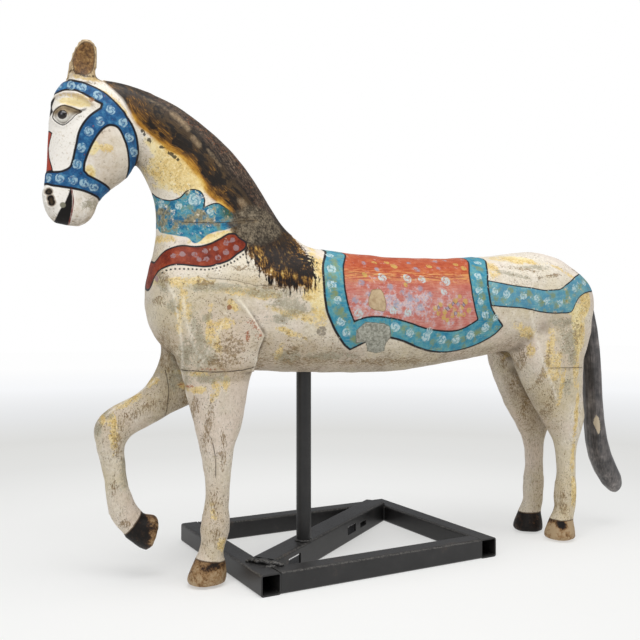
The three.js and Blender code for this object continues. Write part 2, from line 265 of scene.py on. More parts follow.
panel_ochres = [
    (163, 604, 8), (121, 609, 6), (247, 606, 7), (328, 604, 7), (176, 565, 5), (152, 611, 6),
    (315, 612, 6), (88, 583, 6), (240, 518, 6), (252, 526, 5), (262, 512, 6), (275, 524, 6),
    (289, 534, 6), (302, 520, 6), (313, 533, 6), (280, 505, 6), (259, 500, 5), (296, 506, 6),
    (321, 515, 6), (286, 516, 5), (247, 508, 5), (308, 506, 5), (300, 543, 5), (268, 495, 5)
]
filler_line = [
    (64, 474), (83, 490), (122, 488), (136, 482), (140, 461), (131, 448), (132, 434), (116, 429),
    (95, 434), (87, 452), (66, 449)
]
tan_line = curve([(97, 553), (119, 553), (127, 520), (118, 512), (90, 522), (97, 553)])
neck_filler_line = curve([(-176, 652), (-178, 678), (-160, 700), (-128, 712), (-92, 704), (-66, 668),
                          (-86, 648), (-141, 632), (-176, 652)])

# Open seams and splits in the wood
seams = [
    ([(-262, 674), (-208, 673), (-176, 676), (-156, 679), (-122, 683)], 0.9),
    ([(-264, 402), (-243, 401), (-217, 399), (-184, 399), (-156, 401), (-132, 406)], 1.0),
    ([(545, 391), (578, 391), (640, 390)], 0.8), ([(-277, 398), (-272, 361), (-275, 310)], 0.7),
    ([(-211, 275), (-203, 240), (-202, 205)], 0.8),
    ([(-222, 570), (-176, 567), (-135, 558), (-101, 557)], 0.45),
    ([(44, 588), (115, 583), (190, 578), (269, 583), (323, 584)], 0.3)
]
elbow_line = [
    (-172, 540), (-157, 520), (-143, 501), (-118, 465), (-124, 445), (-129, 418), (-134, 398),
    (-260, 398), (-276, 470), (-262, 540)
]

# Carved edges, their paint worn pale and lit by a painted highlight: a line, and how far the wood is
# raised along it
ridges = [
    ([(-171, 534), (-157, 519), (-143, 501), (-119, 465), (-124, 445), (-128, 418), (-133, 400)], 1.2),
    ([(-296, 560), (-283, 536), (-274, 488), (-269, 448), (-263, 406), (-249, 340), (-235, 282),
      (-218, 202)], 1.6), ([(-268, 536), (-262, 490), (-250, 455), (-238, 425)], 0.8),
    ([(-190, 505), (-205, 470), (-222, 440), (-236, 412)], 0.6),
    ([(-128, 398), (-140, 340), (-152, 280), (-163, 230)], 0.9),
    ([(480, 512), (494, 485), (508, 458), (520, 414), (533, 388), (545, 365), (566, 322)], 1.8),
    ([(542, 634), (590, 613), (630, 591), (667, 570)], 0.9)
]
far_ridges = [([(-290, 384), (-319, 358), (-365, 331), (-384, 318)], 1.2)]

# Where the paint is worn or stained: x, z, half length, half height, and how far it leans over
yellow_places = [
    (-262, 770, 55, 40, 0), (-238, 752, 26, 26, -40), (-290, 800, 34, 12, -45), (-215, 650, 40, 8, 15),
    (-205, 688, 22, 8, 20), (-296, 645, 30, 8, 0), (-306, 690, 10, 26, 0), (-270, 562, 60, 10, 0),
    (-170, 548, 60, 8, 0), (-262, 520, 10, 34, 10), (-222, 478, 7, 40, -4), (-276, 500, 6, 40, 8),
    (-196, 487, 26, 10, 10), (-176, 520, 16, 8, -50), (-212, 452, 12, 26, 20), (-118, 540, 40, 9, 0),
    (-60, 505, 52, 10, -12), (-28, 552, 20, 26, 0), (-14, 500, 22, 22, 0), (-5, 610, 16, 36, 0),
    (-66, 470, 30, 7, -18), (-254, 370, 8, 8, 0), (-238, 366, 16, 8, 0), (-205, 372, 9, 20, 0),
    (-188, 380, 8, 16, 0), (-212, 352, 6, 12, 0), (-168, 545, 22, 8, 0), (-374, 285, 9, 46, 4),
    (-346, 340, 34, 9, 28), (-395, 312, 9, 14, 0), (-300, 375, 16, 6, 30), (540, 432, 12, 60, -6),
    (552, 400, 20, 40, 0), (575, 345, 7, 44, -6), (612, 400, 12, 70, 4), (630, 480, 10, 60, 0),
    (640, 540, 22, 30, 0), (478, 472, 40, 14, -20), (585, 600, 50, 5, -26), (640, 575, 30, 5, -30),
    (624, 300, 7, 80, 0), (626, 190, 8, 40, 0), (628, 110, 9, 44, 0), (-446, 889, 34, 5, -8),
    (-396, 800, 14, 10, 0), (-425, 758, 8, 12, 0), (470, 625, 60, 8, -6), (-206, 132, 6, 20, 0),
    (-312, 640, 6, 34, 0), (395, 612, 20, 30, 20), (-434, 925, 30, 6, 0), (-378, 878, 10, 26, 40),
    (-412, 905, 26, 4, -20), (-190, 75, 10, 20, 0), (-84, 432, 10, 20, 0), (500, 430, 8, 20, 0),
    (556, 555, 60, 5, 0), (-250, 395, 40, 5, 0)
]
grey_places = [
    (-200, 553, 70, 9, 0), (-110, 545, 60, 12, -6), (-244, 474, 12, 46, 8), (-222, 500, 20, 7, 30),
    (-212, 388, 36, 10, 0), (-262, 388, 14, 30, 0), (-66, 520, 40, 18, -12), (-92, 497, 24, 10, 0),
    (-230, 432, 26, 24, 0), (-262, 430, 10, 26, 10), (-256, 448, 14, 20, 0), (584, 452, 26, 34, 0),
    (566, 490, 34, 10, 0), (600, 420, 16, 30, 0), (-402, 300, 8, 26, 0), (-384, 318, 10, 10, 0),
    (-424, 702, 16, 12, 20), (-236, 552, 20, 7, 0), (-300, 560, 10, 22, 10), (-60, 424, 30, 12, 0),
    (590, 350, 14, 24, 0), (450, 592, 50, 6, -10), (512, 610, 40, 6, 0), (-284, 520, 12, 14, 0),
    (600, 560, 14, 12, 0), (-284, 676, 20, 8, 0), (-352, 206, 12, 30, 0), (20, 425, 60, 8, 0)
]
brown_places = [
    (-180, 446, 30, 20, 0), (-196, 418, 40, 9, 0), (-226, 560, 16, 6, 0), (-201, 98, 7, 22, 0),
    (-203, 150, 6, 30, 0), (-218, 300, 7, 50, -6), (-190, 250, 5, 40, 0), (-240, 330, 6, 30, 0),
    (-300, 570, 7, 20, 20), (-306, 528, 8, 10, 0), (-290, 450, 6, 30, 16), (-276, 420, 8, 40, 12),
    (-330, 320, 40, 8, 30), (-366, 265, 8, 30, 0), (-118, 402, 14, 20, 0), (-352, 110, 12, 10, 0),
    (-372, 180, 6, 20, 0), (612, 470, 12, 26, 0), (530, 384, 8, 50, -10), (-150, 640, 20, 6, 0),
    (604, 82, 6, 30, 0), (556, 300, 8, 60, 0), (575, 180, 6, 60, 0), (-96, 556, 40, 5, 0),
    (470, 606, 50, 4, -6), (530, 590, 40, 4, 8), (640, 600, 26, 4, -30), (-60, 440, 10, 12, 0),
    (-420, 934, 26, 5, 0), (-436, 916, 30, 3, 0), (490, 400, 10, 40, 0), (-30, 415, 60, 8, 0),
    (140, 412, 120, 7, 0), (-160, 590, 40, 5, -8), (-120, 600, 20, 4, 0)
]
# Broad soft stains: tan grime, and clean lemon-yellow paint
tan_washes = [
    (-215, 480, 62, 66, 0), (-276, 450, 22, 70, 6), (-398, 786, 34, 46, 0), (-432, 694, 24, 30, 0),
    (-60, 440, 90, 26, -8), (590, 440, 46, 100, 0), (-372, 300, 26, 40, 0), (-304, 352, 40, 34, 20),
    (-316, 770, 16, 40, 20), (-205, 110, 26, 70, 0), (-196, 400, 60, 24, 0), (560, 300, 26, 90, 10),
    (-300, 590, 14, 50, 0), (-110, 560, 70, 16, -6), (-150, 645, 40, 10, 0), (610, 90, 24, 60, 0)
]
lemon_washes = [
    (-262, 772, 52, 40, 0), (-238, 750, 24, 24, -40), (-296, 800, 38, 13, -42), (-205, 646, 44, 8, 12),
    (-420, 800, 10, 12, 0), (-452, 878, 26, 8, -8), (-425, 758, 10, 12, 0), (612, 470, 14, 60, 4),
    (642, 540, 16, 34, 0), (-14, 560, 20, 56, 0), (480, 628, 30, 8, -6), (600, 520, 34, 12, 0)
]
rust_places = [
    (-140, 486, 14, 9, -30), (-128, 470, 8, 12, 0), (-150, 465, 6, 14, 0), (-250, 372, 8, 4, 0),
    (-416, 886, 14, 4, -30), (-398, 868, 8, 4, 0), (-184, 517, 5, 5, 0), (-205, 404, 30, 2, 0)
]


class Marks:
    """The points of the horse's surface, and what is painted or worn at each, kept as attributes."""

    def __init__(self, mesh):
        self.mesh = mesh
        count = len(mesh.vertices)
        places = np.empty(count * 3)
        normals = np.empty(count * 3)
        mesh.vertices.foreach_get("co", places)
        mesh.vertex_normals.foreach_get("vector", normals)
        self.place = places.reshape(-1, 3) / MM
        self.normal = normals.reshape(-1, 3)
        self.x = self.place[:, 0]
        self.y = self.place[:, 1]
        self.z = self.place[:, 2]

    def across(self, along_x, along_z):
        """How much a distance on the drawing grows on a surface that leans away from it."""
        lean = along_x * self.normal[:, 0] + along_z * self.normal[:, 2]
        return 1 / np.sqrt(np.clip(1 - lean ** 2, 0.12, 1))

    def line_distance(self, line, closed=True):
        """The distance to a drawn line in mm, negative inside a closed one. An open line gives
        the distance and the same with a sign for its side. The way along it stays in self.along."""
        points = np.array(line, float)
        ends = np.roll(points, -1, axis=0)
        if not closed:
            points, ends = points[:-1], ends[:-1]
        least = np.full(len(self.x), 1e6)
        side = np.zeros(len(self.x))
        self.along = np.zeros(len(self.x))
        travelled = 0.0
        toward = np.zeros((len(self.x), 2))
        inside = np.zeros(len(self.x), bool)
        for (ax, az), (bx, bz) in zip(points, ends):
            dx, dz = bx - ax, bz - az
            length2 = max(dx * dx + dz * dz, 1e-9)
            t = np.clip(((self.x - ax) * dx + (self.z - az) * dz) / length2, 0, 1)
            gx, gz = self.x - ax - t * dx, self.z - az - t * dz
            gap = np.hypot(gx, gz)
            closer = gap < least
            least = np.where(closer, gap, least)
            side = np.where(closer, np.sign(dx * gz - dz * gx), side)
            self.along = np.where(closer, travelled + t * math.sqrt(length2), self.along)
            travelled += math.sqrt(length2)
            toward[closer] = np.stack([gx, gz], 1)[closer]
            if az != bz:
                cut = ax + dx * (self.z - az) / (bz - az)
                inside ^= ((az > self.z) != (bz > self.z)) & (self.x < cut)
        size = np.maximum(np.hypot(toward[:, 0], toward[:, 1]), 1e-6)
        least = least * self.across(toward[:, 0] / size, toward[:, 1] / size)
        if closed:
            return np.where(inside, -least, least)
        return least, side * least

    def line_gap(self, line):
        """The distance in mm to an open line."""
        return self.line_distance(line, closed=False)[0]

    def blob(self, px, pz, wide, tall):
        """1 at a place on the drawing, fading to 0 in an oval round it."""
        return np.exp(-(((self.x - px) / wide) ** 2 + ((self.z - pz) / tall) ** 2))

    def keep(self, name, values):
        """Keeps one number for each point of the mesh under a name that a material reads."""
        values = np.asarray(values, np.float32)
        kind = "FLOAT" if values.ndim == 1 else "FLOAT_VECTOR"
        attribute = self.mesh.attributes.new(name, kind, "POINT")
        attribute.data.foreach_set("value" if values.ndim == 1 else "vector", values.ravel())


def add(tree, kind, settings=None, links=None):
    """Adds one node with its settings and links. An input is named by its label or its number."""
    node = tree.nodes.new(kind)
    for name, value in (settings or {}).items():
        if name == "stops":
            ramp = node.color_ramp
            while len(ramp.elements) < len(value):
                ramp.elements.new(0.5)
            for element, (position, code) in zip(ramp.elements, value):
                element.position = position
                element.color = colour(code)
        elif name == "steps":
            node.color_ramp.interpolation = value
        elif isinstance(name, str) and name in node.bl_rna.properties:
            setattr(node, name, value)
        else:
            node.inputs[name].default_value = colour(value) if isinstance(value, str) else value
    for name, source in (links or {}).items():
        tree.links.new(source, node.inputs[name])
    return node


# What the materials mix with. Each word stands for a kind of node, its settings, the inputs that
# the terms go into in their order, and the output that is used.
recipes = {"mark": ("ShaderNodeAttribute", {}, ["attribute_name"], 2),
           "over": ("ShaderNodeMix", {"data_type": "RGBA", "clamp_factor": True}, [6, 7, 0], 2),
           "between": ("ShaderNodeMix", {"data_type": "FLOAT"}, [2, 3, 0], 0),
           "fade": ("ShaderNodeMapRange", {"clamp": True, 3: 0.0, 4: 1.0}, [0, 1, 2], 0),
           "ramp": ("ShaderNodeValToRGB", {}, [0, "stops"], 0)}
for word, operation in (("times", "MULTIPLY"), ("plus", "ADD"), ("less", "SUBTRACT"),
                        ("divided", "DIVIDE"), ("greater", "MAXIMUM"), ("far_from", "ABSOLUTE"),
                        ("root", "SQRT"), ("sine", "SINE"), ("angle", "ARCTAN2"),
                        ("fraction", "FRACT")):
    recipes[word] = ("ShaderNodeMath", {"operation": operation}, [0, 1], 0)


class Finish:
    """One material in the making."""

    def __init__(self, name):
        self.material = bpy.data.materials.new(name)
        self.material.use_nodes = True
        self.tree = self.material.node_tree
        self.tree.nodes.clear()
        self.place = add(self.tree, "ShaderNodeTexCoord").outputs["Object"]
        self.height = add(self.tree, "ShaderNodeSeparateXYZ", {}, {0: self.place}).outputs[2]

    def mix(self, word, *terms, **more):
        """Follows a recipe. Terms past those it takes are joined to the result in their turn."""
        kind, settings, inputs, output = recipes[word]
        given = dict(zip(inputs, terms))
        links = {name: term for name, term in given.items() if isinstance(term, bpy.types.NodeSocket)}
        values = {name: term for name, term in given.items() if name not in links}
        result = add(self.tree, kind, {**settings, **values, **more}, links).outputs[output]
        rest = terms[len(inputs):]
        return self.mix(word, result, *rest) if rest else result

    def blend(self, *parts):
        """A weighted sum: a share, then what it is a share of, and so on."""
        shared = [self.mix("times", what, share) for share, what in zip(parts[::2], parts[1::2])]
        return self.mix("plus", *shared)

    def centred(self, value, size):
        return self.mix("times", self.mix("less", value, 0.5), size)

    def length(self, across, up):
        squares = self.mix("plus", self.mix("times", across, across), self.mix("times", up, up))
        return self.mix("root", squares)

    def three_marks(self, name):
        """Three numbers kept on the mesh under one name."""
        marks = add(self.tree, "ShaderNodeAttribute", {"attribute_name": name}).outputs[1]
        return add(self.tree, "ShaderNodeSeparateXYZ", {}, {0: marks}).outputs

    def pattern(self, size_mm, stretch=(1, 1, 1), turn=(0, 0, 0), detail=4.0, rough=0.6, shift=0.0,
                place=None):
        """Cloudy variation whose patches are about size_mm across, longer where stretch is over 1."""
        scale = [1 / (size_mm * MM * s) for s in stretch]
        moved = add(self.tree, "ShaderNodeMapping", {"Scale": scale, "Rotation": turn,
                                                     "Location": (shift, shift, shift)},
                    {"Vector": self.place if place is None else place})
        return add(self.tree, "ShaderNodeTexNoise", {"Scale": 1.0, "Detail": detail,
                                                     "Roughness": rough},
                   {"Vector": moved.outputs[0]}).outputs[0]

    def finish(self, colour_from, roughness_from, height_from, depth, **surface):
        """The shader: a colour, a roughness and a relief as deep as depth."""
        bump = add(self.tree, "ShaderNodeBump", {"Strength": 1.0, "Distance": depth},
                   {"Height": height_from})
        shader = add(self.tree, "ShaderNodeBsdfPrincipled", surface,
                     {"Base Color": colour_from, "Roughness": roughness_from,
                      "Normal": bump.outputs[0]})
        add(self.tree, "ShaderNodeOutputMaterial", {}, {"Surface": shader.outputs[0]})
        return self.material


# Oil paint over a chalk ground on carved pine, about a century old. The eye sees a cream coat
# rubbed thin along the grain, its yellow ground in patches, grey filler, fine brown specks of
# grime in the pores, and over it hand-painted harness with black outlines and ringed dots.
def painted_wood_material():
    finish = Finish("aged_oil_paint_on_carved_pine")
    mix, blend, centred = finish.mix, finish.blend, finish.centred
    pattern, three_marks = finish.pattern, finish.three_marks
    coat = None

    def lay(paint, share):
        """Lays one more coat over all that is painted so far."""
        nonlocal coat
        coat = mix("over", coat, paint, share)

    def outline(edge, start, end):
        """1 along an outline, fading out on both sides of it."""
        return mix("fade", mix("far_from", edge), start, end)

    broad = pattern(120, detail=5)
    cloud = pattern(38, detail=6, rough=0.68)
    blotch = pattern(17, detail=6, rough=0.7, shift=7.7)
    fleck = pattern(9, detail=5, rough=0.7, shift=3.1)
    speck = pattern(2.6, detail=3, rough=0.6, shift=5.7)
    pore = pattern(4.4, detail=4, rough=0.65, shift=8.3)
    tremble = pattern(14, detail=3, shift=9.2)
    upright_grain = pattern(2.6, stretch=(1, 1, 10), detail=4, rough=0.65)
    level_grain = pattern(2.6, stretch=(10, 1, 1), detail=4, rough=0.65)
    limb = mix("mark", "limb")
    grain = mix("between", level_grain, upright_grain, limb)
    wobble = centred(tremble, 3.6)
    ragged = centred(fleck, 9.0)
    height = finish.height
    fine = blend(0.5, fleck, 0.5, pore)

    # The cream coat, warmer and cooler in clouds, thin along the grain, stained in soft washes, and
    # paler on the face, the neck and the top of the back as painted light
    short_grain = pattern(2.4, stretch=(2.6, 1, 2.2), detail=5, rough=0.68, shift=1.3)
    leg_grain = pattern(2.2, stretch=(1, 1, 3.6), detail=5, rough=0.68, shift=1.3)
    strokes = mix("between", short_grain, leg_grain, limb)
    coat = mix("ramp", blend(0.4, cloud, 0.3, fleck, 0.3, pore),
               [(0.38, "#BFB198"), (0.46, "#D2C6B1"), (0.54, "#DFD5C4"), (0.64, "#EBE4D8")])
    lay("#DCC8BB", mix("times", mix("fade", broad, 0.48, 0.62), 0.45))
    lay("#D0C29C", mix("times", mix("fade", broad, 0.50, 0.38), 0.40))
    lay("#B5A68B", mix("times", mix("fade", grain, 0.54, 0.66), 0.32))
    # Painted light: a paler cream on the face, the neck and the top of the back, where the light falls
    lay("#F3EFE8", mix("times", mix("mark", "bright"), mix("fade", pore, 0.22, 0.44)))
    tan_wash, lemon_wash, _ = three_marks("wash")
    mottled = blend(0.3, cloud, 0.3, blotch, 0.4, pore)
    lay("#B29A6E", mix("times", tan_wash, mix("fade", mottled, 0.40, 0.62), 0.75))
    lemon = mix("ramp", fine, [(0.38, "#DDC383"), (0.5, "#EBD9A0"), (0.62, "#F0E4BE")])
    lay(lemon, mix("times", mix("fade", mix("plus", lemon_wash, centred(blotch, 1.6)), 0.35, 0.62),
                   0.88))

    # Grime where hands and weather leave it, with painted shade: darker on the undersides, the inner
    # sides of the legs and in the armpit
    under = mix("mark", "under")
    grime_and_shade = mix("times", under, mix("fade", blend(0.4, cloud, 0.4, strokes, 0.2, fleck), 0.36, 0.58))
    lay(mix("ramp", strokes, [(0.4, "#8C7A5C"), (0.6, "#6B583C")]), mix("times", grime_and_shade, 0.82))

    yellow, grey, brown = three_marks("wear")
    patchy = blend(0.2, cloud, 0.35, blotch, 0.2, fleck, 0.25, pore)
    yellow_paint = mix("ramp", fine, [(0.38, "#B48E49"), (0.46, "#D2B26C"), (0.54, "#E3CB90"),
                                      (0.64, "#EBDDB8")])
    yellow_share = mix("fade", mix("plus", patchy, mix("times", yellow, 0.15)), 0.585, 0.635)
    lay(yellow_paint, mix("times", yellow_share, 0.9))
    grey_paint = mix("ramp", blend(0.4, fleck, 0.6, pore), [(0.38, "#6B6552"), (0.47, "#8E8872"),
                                                            (0.56, "#A8A28E"), (0.66, "#C2BCA9")])
    dusty = blend(0.35, blotch, 0.25, fleck, 0.40, pore, 0.15, grey)
    grey_share = mix("fade", dusty, 0.575, 0.645)
    lay(grey_paint, mix("times", grey_share, 0.78))
    dirty = mix("fade", mix("plus", cloud, mix("times", brown, 0.2), mix("times", under, 0.08),
                            mix("times", tan_wash, 0.14)), 0.44, 0.62)
    brown_share = mix("fade", blend(0.25, blotch, 0.2, fleck, 0.55, strokes, 0.10, brown, 0.02, dirty),
                      0.575, 0.635)
    lay(mix("ramp", fleck, [(0.4, "#64502F"), (0.6, "#947952")]), mix("times", brown_share, 0.72))
    rust_share = mix("fade", mix("plus", mix("times", pore, 0.6), mix("times", fleck, 0.4),
                                 mix("times", mix("mark", "rust"), 0.13)), 0.60, 0.65)
    lay("#A4552F", mix("times", rust_share, mix("mark", "rust"), 0.85))

    # Fine dirt: dark pits in the paint, and short dark scratches along the grain
    open_coat = mix("less", 1.0, mix("mark", "clean"))
    pits = mix("times", mix("fade", speck, 0.60, 0.66), mix("plus", 0.2, mix("times", dirty, 0.8)),
               open_coat)
    lay("#57432B", mix("times", pits, 0.85))
    scratches = mix("times", mix("fade", strokes, 0.57, 0.64), open_coat,
                    mix("plus", 0.22, mix("times", dirty, 0.5), mix("times", limb, 0.35)))
    lay("#7A6243", mix("times", scratches, 0.7))
    # Worn paint and painted highlight along the carved edges
    lay("#F0E8D8", mix("times", mix("mark", "ridge"), mix("fade", fleck, 0.36, 0.52), 0.8))

    # The mane: brushed along the neck from the lower edge, amber into black, bare patches, and a
    # smoke-brown crest; over the shoulder it hangs in strands
    hair_place = add(finish.tree, "ShaderNodeAttribute", {"attribute_name": "hair"}).outputs[1]
    tuft = mix("mark", "tuft")
    neck_hair = pattern(2.2, stretch=(12, 1, 2), detail=4, rough=0.6, place=hair_place)
    tuft_hair = pattern(4.2, stretch=(1, 1, 8), turn=(0, math.radians(10), 0), detail=4)
    hair = mix("between", neck_hair, tuft_hair, tuft)
    clots = pattern(17, stretch=(1.7, 1, 1.5), detail=6, rough=0.66, shift=2.0, place=hair_place)
    into = mix("plus", mix("times", mix("mark", "mane"), -1.0), mix("mark", "mane_start"))
    depth = mix("plus", into, centred(clots, 34), centred(hair, -14))
    shade = mix("fade", depth, -4, 96)
    neck_paint = mix("ramp", shade, [(0.0, "#E3C87F"), (0.06, "#C79A3F"), (0.11, "#94651F"),
                                     (0.18, "#533716"), (0.32, "#322314"), (0.50, "#43331F"),
                                     (0.66, "#2A2017"), (0.82, "#43372B")])
    neck_paint = mix("over", neck_paint, "#A87628", mix("times", mix("fade", hair, 0.53, 0.60),
                                                        mix("fade", depth, 50, 14), 0.75))
    neck_paint = mix("over", neck_paint, "#75604A", mix("times", mix("fade", hair, 0.53, 0.63),
                                                        mix("fade", depth, 36, 66), 0.5))
    black = mix("times", mix("fade", blend(0.75, clots, 0.25, hair), 0.485, 0.525),
                mix("fade", depth, 10, 18), mix("fade", depth, 92, 72))
    neck_paint = mix("over", neck_paint, "#130E0B", mix("times", black, 0.94))
    crest = mix("fade", depth, 58, 80)
    flaky = blend(0.3, fleck, 0.35, pore, 0.35, neck_hair)
    neck_paint = mix("over", neck_paint,
                     mix("ramp", flaky, [(0.42, "#120E0B"), (0.48, "#2D231B"), (0.53, "#54453A"),
                                         (0.60, "#84715C")]), mix("times", crest, 0.9))
    neck_paint = mix("over", neck_paint, "#6B3E22", mix("times", crest, mix("fade", pore, 0.55, 0.60),
                                                        mix("fade", cloud, 0.44, 0.54), 0.85))
    neck_paint = mix("over", neck_paint, mix("ramp", pore, [(0.4, "#7D6850"), (0.6, "#A08A6B")]),
                     mix("times",
                         mix("fade", mix("plus", mix("mark", "bare"), mix("times", ragged, 1.3)), 3.0,
                             -4.0), 0.75))
    tuft_paint = mix("ramp", blend(0.5, clots, 0.5, tuft_hair),
                     [(0.42, "#0E0A08"), (0.49, "#24170E"), (0.53, "#4C3216"), (0.57, "#86602A"),
                      (0.61, "#B48F45"), (0.66, "#D8BE7E")])
    tuft_dark = mix("fade", mix("plus", mix("mark", "mane"), centred(blotch, 50)), -22, -44)
    tuft_paint = mix("over", tuft_paint, "#241A14", mix("times", tuft_dark, 0.72))
    hair_paint = mix("over", neck_paint, tuft_paint, tuft)
    hair_edge = mix("plus", mix("mark", "mane"), wobble, mix("times", centred(tuft_hair, 70), tuft),
                    mix("times", centred(clots, 26), tuft))
    lay(hair_paint, mix("fade", hair_edge, 3, -3))
    filler = mix("plus", mix("mark", "neck_filler"), ragged, centred(blotch, 30))
    filler_paint = mix("ramp", blend(0.5, blotch, 0.5, pore),
                       [(0.42, "#2F281F"), (0.48, "#4D4437"), (0.53, "#685D4C"), (0.60, "#8A7E69")])
    later_filler = mix("times", mix("fade", filler, 4, -6), 0.92)

    # Collar, breast strap, saddle cloth and crupper
    sea = blend(0.5, cloud, 0.5, blotch)
    teal = mix("ramp", sea, [(0.36, "#22708F"), (0.47, "#35869F"), (0.57, "#5E9CA3"),
                             (0.68, "#8FAF9C")])
    teal = mix("over", teal, "#858C48", mix("times", mix("fade", tremble, 0.54, 0.64), 0.5))
    teal = mix("over", teal, "#A9BFC0", mix("times", mix("fade", level_grain, 0.58, 0.68), 0.35))
    rubbed = mix("fade", blend(0.6, fleck, 0.4, blotch), 0.615, 0.65)
    keeps = mix("less", 1.0, mix("times", rubbed, 0.75))

    def paint_area(name, paint, ink_mm, hold=1.0, inked=1.0):
        """A painted area inside its outline, with a brushed black line along its edge."""
        edge = mix("plus", mix("mark", name), mix("times", wobble, 0.45))
        lay(paint, mix("times", mix("fade", edge, 0.7, -0.7), keeps, hold))
        line = outline(edge, ink_mm, ink_mm * 0.55)
        lay("#1D1B1F", mix("times", line, mix("fade", fleck, 0.68, 0.60), inked))

    worn_collar = mix("fade", mix("plus", mix("times", blotch, 0.6), mix("times", cloud, 0.4),
                                  mix("mark", "collar_wear")), 0.60, 0.53)
    rubbed_collar = mix("ramp", fine, [(0.40, "#5A5A4C"), (0.48, "#7F7A63"), (0.56, "#9C9275"),
                                       (0.64, "#B5A98A")])
    deep_collar = mix("over", teal, "#1C6488", mix("fade", blotch, 0.50, 0.42))
    deep_collar = mix("over", deep_collar, "#2F4A30", mix("times", mix("mark", "collar_dark"),
                                                          mix("fade", patchy, 0.36, 0.50)))
    collar_paint = mix("over", rubbed_collar, deep_collar, worn_collar)
    paint_area("collar", collar_paint, 1.5, mix("fade", fleck, 0.68, 0.58),
               mix("fade", height, 0.694, 0.706))
    lay(filler_paint, later_filler)
    red = mix("ramp", sea, [(0.38, "#561708"), (0.47, "#782810"), (0.55, "#8E3A1E"), (0.66, "#A0583E")])
    paint_area("breast", red, 2.2)
    paint_area("cloth", teal, 2.9)
    paint_area("crupper", mix("over", teal, "#B4C8D0", 0.12), 1.7, mix("fade", blotch, 0.66, 0.58))
    low_panel = mix("plus", height, centred(cloud, 0.05))
    streaky = blend(0.4, level_grain, 0.6, sea)
    panel_top = mix("ramp", streaky, [(0.38, "#93391F"), (0.48, "#AE4D2C"), (0.58, "#C06A43"),
                                      (0.68, "#CE935F")])
    panel_low = mix("ramp", streaky, [(0.38, "#A9554A"), (0.48, "#BE7468"), (0.58, "#CA978C"),
                                      (0.68, "#D3BBB2")])
    panel_paint = mix("over", panel_top, panel_low, mix("fade", low_panel, 0.592, 0.545))
    smudged = mix("fade", mix("plus", mix("times", blotch, 0.5), mix("times", fleck, 0.5),
                              mix("times", mix("mark", "smudge"), 0.14)), 0.56, 0.66)
    panel_paint = mix("over", panel_paint,
                      mix("ramp", pore, [(0.42, "#A7B1C4"), (0.54, "#D6D0D0"), (0.62, "#C9A59C")]),
                      mix("times", smudged, 0.7))
    panel_paint = mix("over", panel_paint, "#7F3A28", mix("times", mix("fade", level_grain, 0.60, 0.66),
                                                          0.5))
    # Painted highlight: a pale band where the cloth's side turns to its top
    cloth_edge_highlight = mix("times", mix("fade", height, 0.566, 0.580), mix("fade", height, 0.600, 0.586),
               mix("fade", level_grain, 0.48, 0.58), 0.7)
    panel_paint = mix("over", panel_paint, "#DDA864", cloth_edge_highlight)
    paint_area("panel", panel_paint, 2.2)

    # The bridle, a deeper blue
    blue = mix("ramp", blend(0.5, tremble, 0.5, fleck), [(0.36, "#163A62"), (0.5, "#1F5685"),
                                                         (0.64, "#4482A6")])
    bridle_edge = mix("plus", mix("mark", "bridle"), mix("times", wobble, 0.3))
    blue = mix("over", blue, "#A8522F", mix("times", mix("fade", pore, 0.66, 0.70), 0.7))
    lay(blue, mix("fade", bridle_edge, 0.6, -0.6))
    lay("#15161C", outline(bridle_edge, 2.6, 1.5))

    # Rosettes and dabs: each dot carries its offset from its centre and its kind
    dot_across, dot_up, dot_kind = three_marks("dot")
    dot_gap = mix("mark", "dot_gap")
    dot_rim = mix("plus", finish.length(dot_across, dot_up), centred(fleck, 0.9), centred(pore, 0.5))
    kind = mix("divided", dot_kind, 8.0)
    dot_paint = mix("ramp", kind, [(0.0, "#A3C2CE"), (0.07, "#BCD0D0"), (0.19, "#878C45"),
                                   (0.31, "#86A0B4"), (0.44, "#17130F"), (0.56, "#93797A"),
                                   (0.69, "#C2A256"), (0.81, "#8D5A3A"), (0.94, "#857B6C")],
                    steps="CONSTANT")
    ringed = mix("fade", kind, 0.19, 0.12)
    soft = mix("times", mix("fade", kind, 0.20, 0.24), mix("fade", kind, 0.42, 0.40))
    rim_start = mix("less", 0.88, mix("times", soft, 0.35))
    body = add(finish.tree, "ShaderNodeMapRange", {"clamp": True, 2: 1.04, 3: 1.0, 4: 0.0},
               {0: dot_rim, 1: rim_start}).outputs[0]
    turned = mix("times", mix("angle", dot_up, dot_across), 2.0)
    swirl = mix("sine", mix("plus", mix("times", dot_rim, 6.5), turned, centred(cloud, 16)))
    gaps = mix("times", ringed, mix("fade", swirl, 0.15, 0.8), 0.8)
    strength = mix("less", 0.85, mix("times", soft, 0.25))
    dabs = mix("times", mix("fade", kind, 0.47, 0.49), mix("fade", kind, 0.53, 0.51))
    flaked = mix("greater", dabs, mix("fade", fine, 0.60, 0.50))
    dot_share = mix("times", body, mix("fade", dot_gap, 1.10, 1.0), mix("less", 1.0, gaps), strength,
                    flaked)
    lay(dot_paint, dot_share)

    # The row of small black beads under the collar
    beside, along, shown = three_marks("beads")
    to_next = centred(mix("fraction", mix("times", along, 1 / bead_spacing_mm)), bead_spacing_mm)
    from_bead = finish.length(beside, to_next)
    lay("#17130F", mix("times", mix("fade", mix("plus", from_bead, mix("times", wobble, 0.3)), 2.3,
                                    1.4), shown, 0.9))

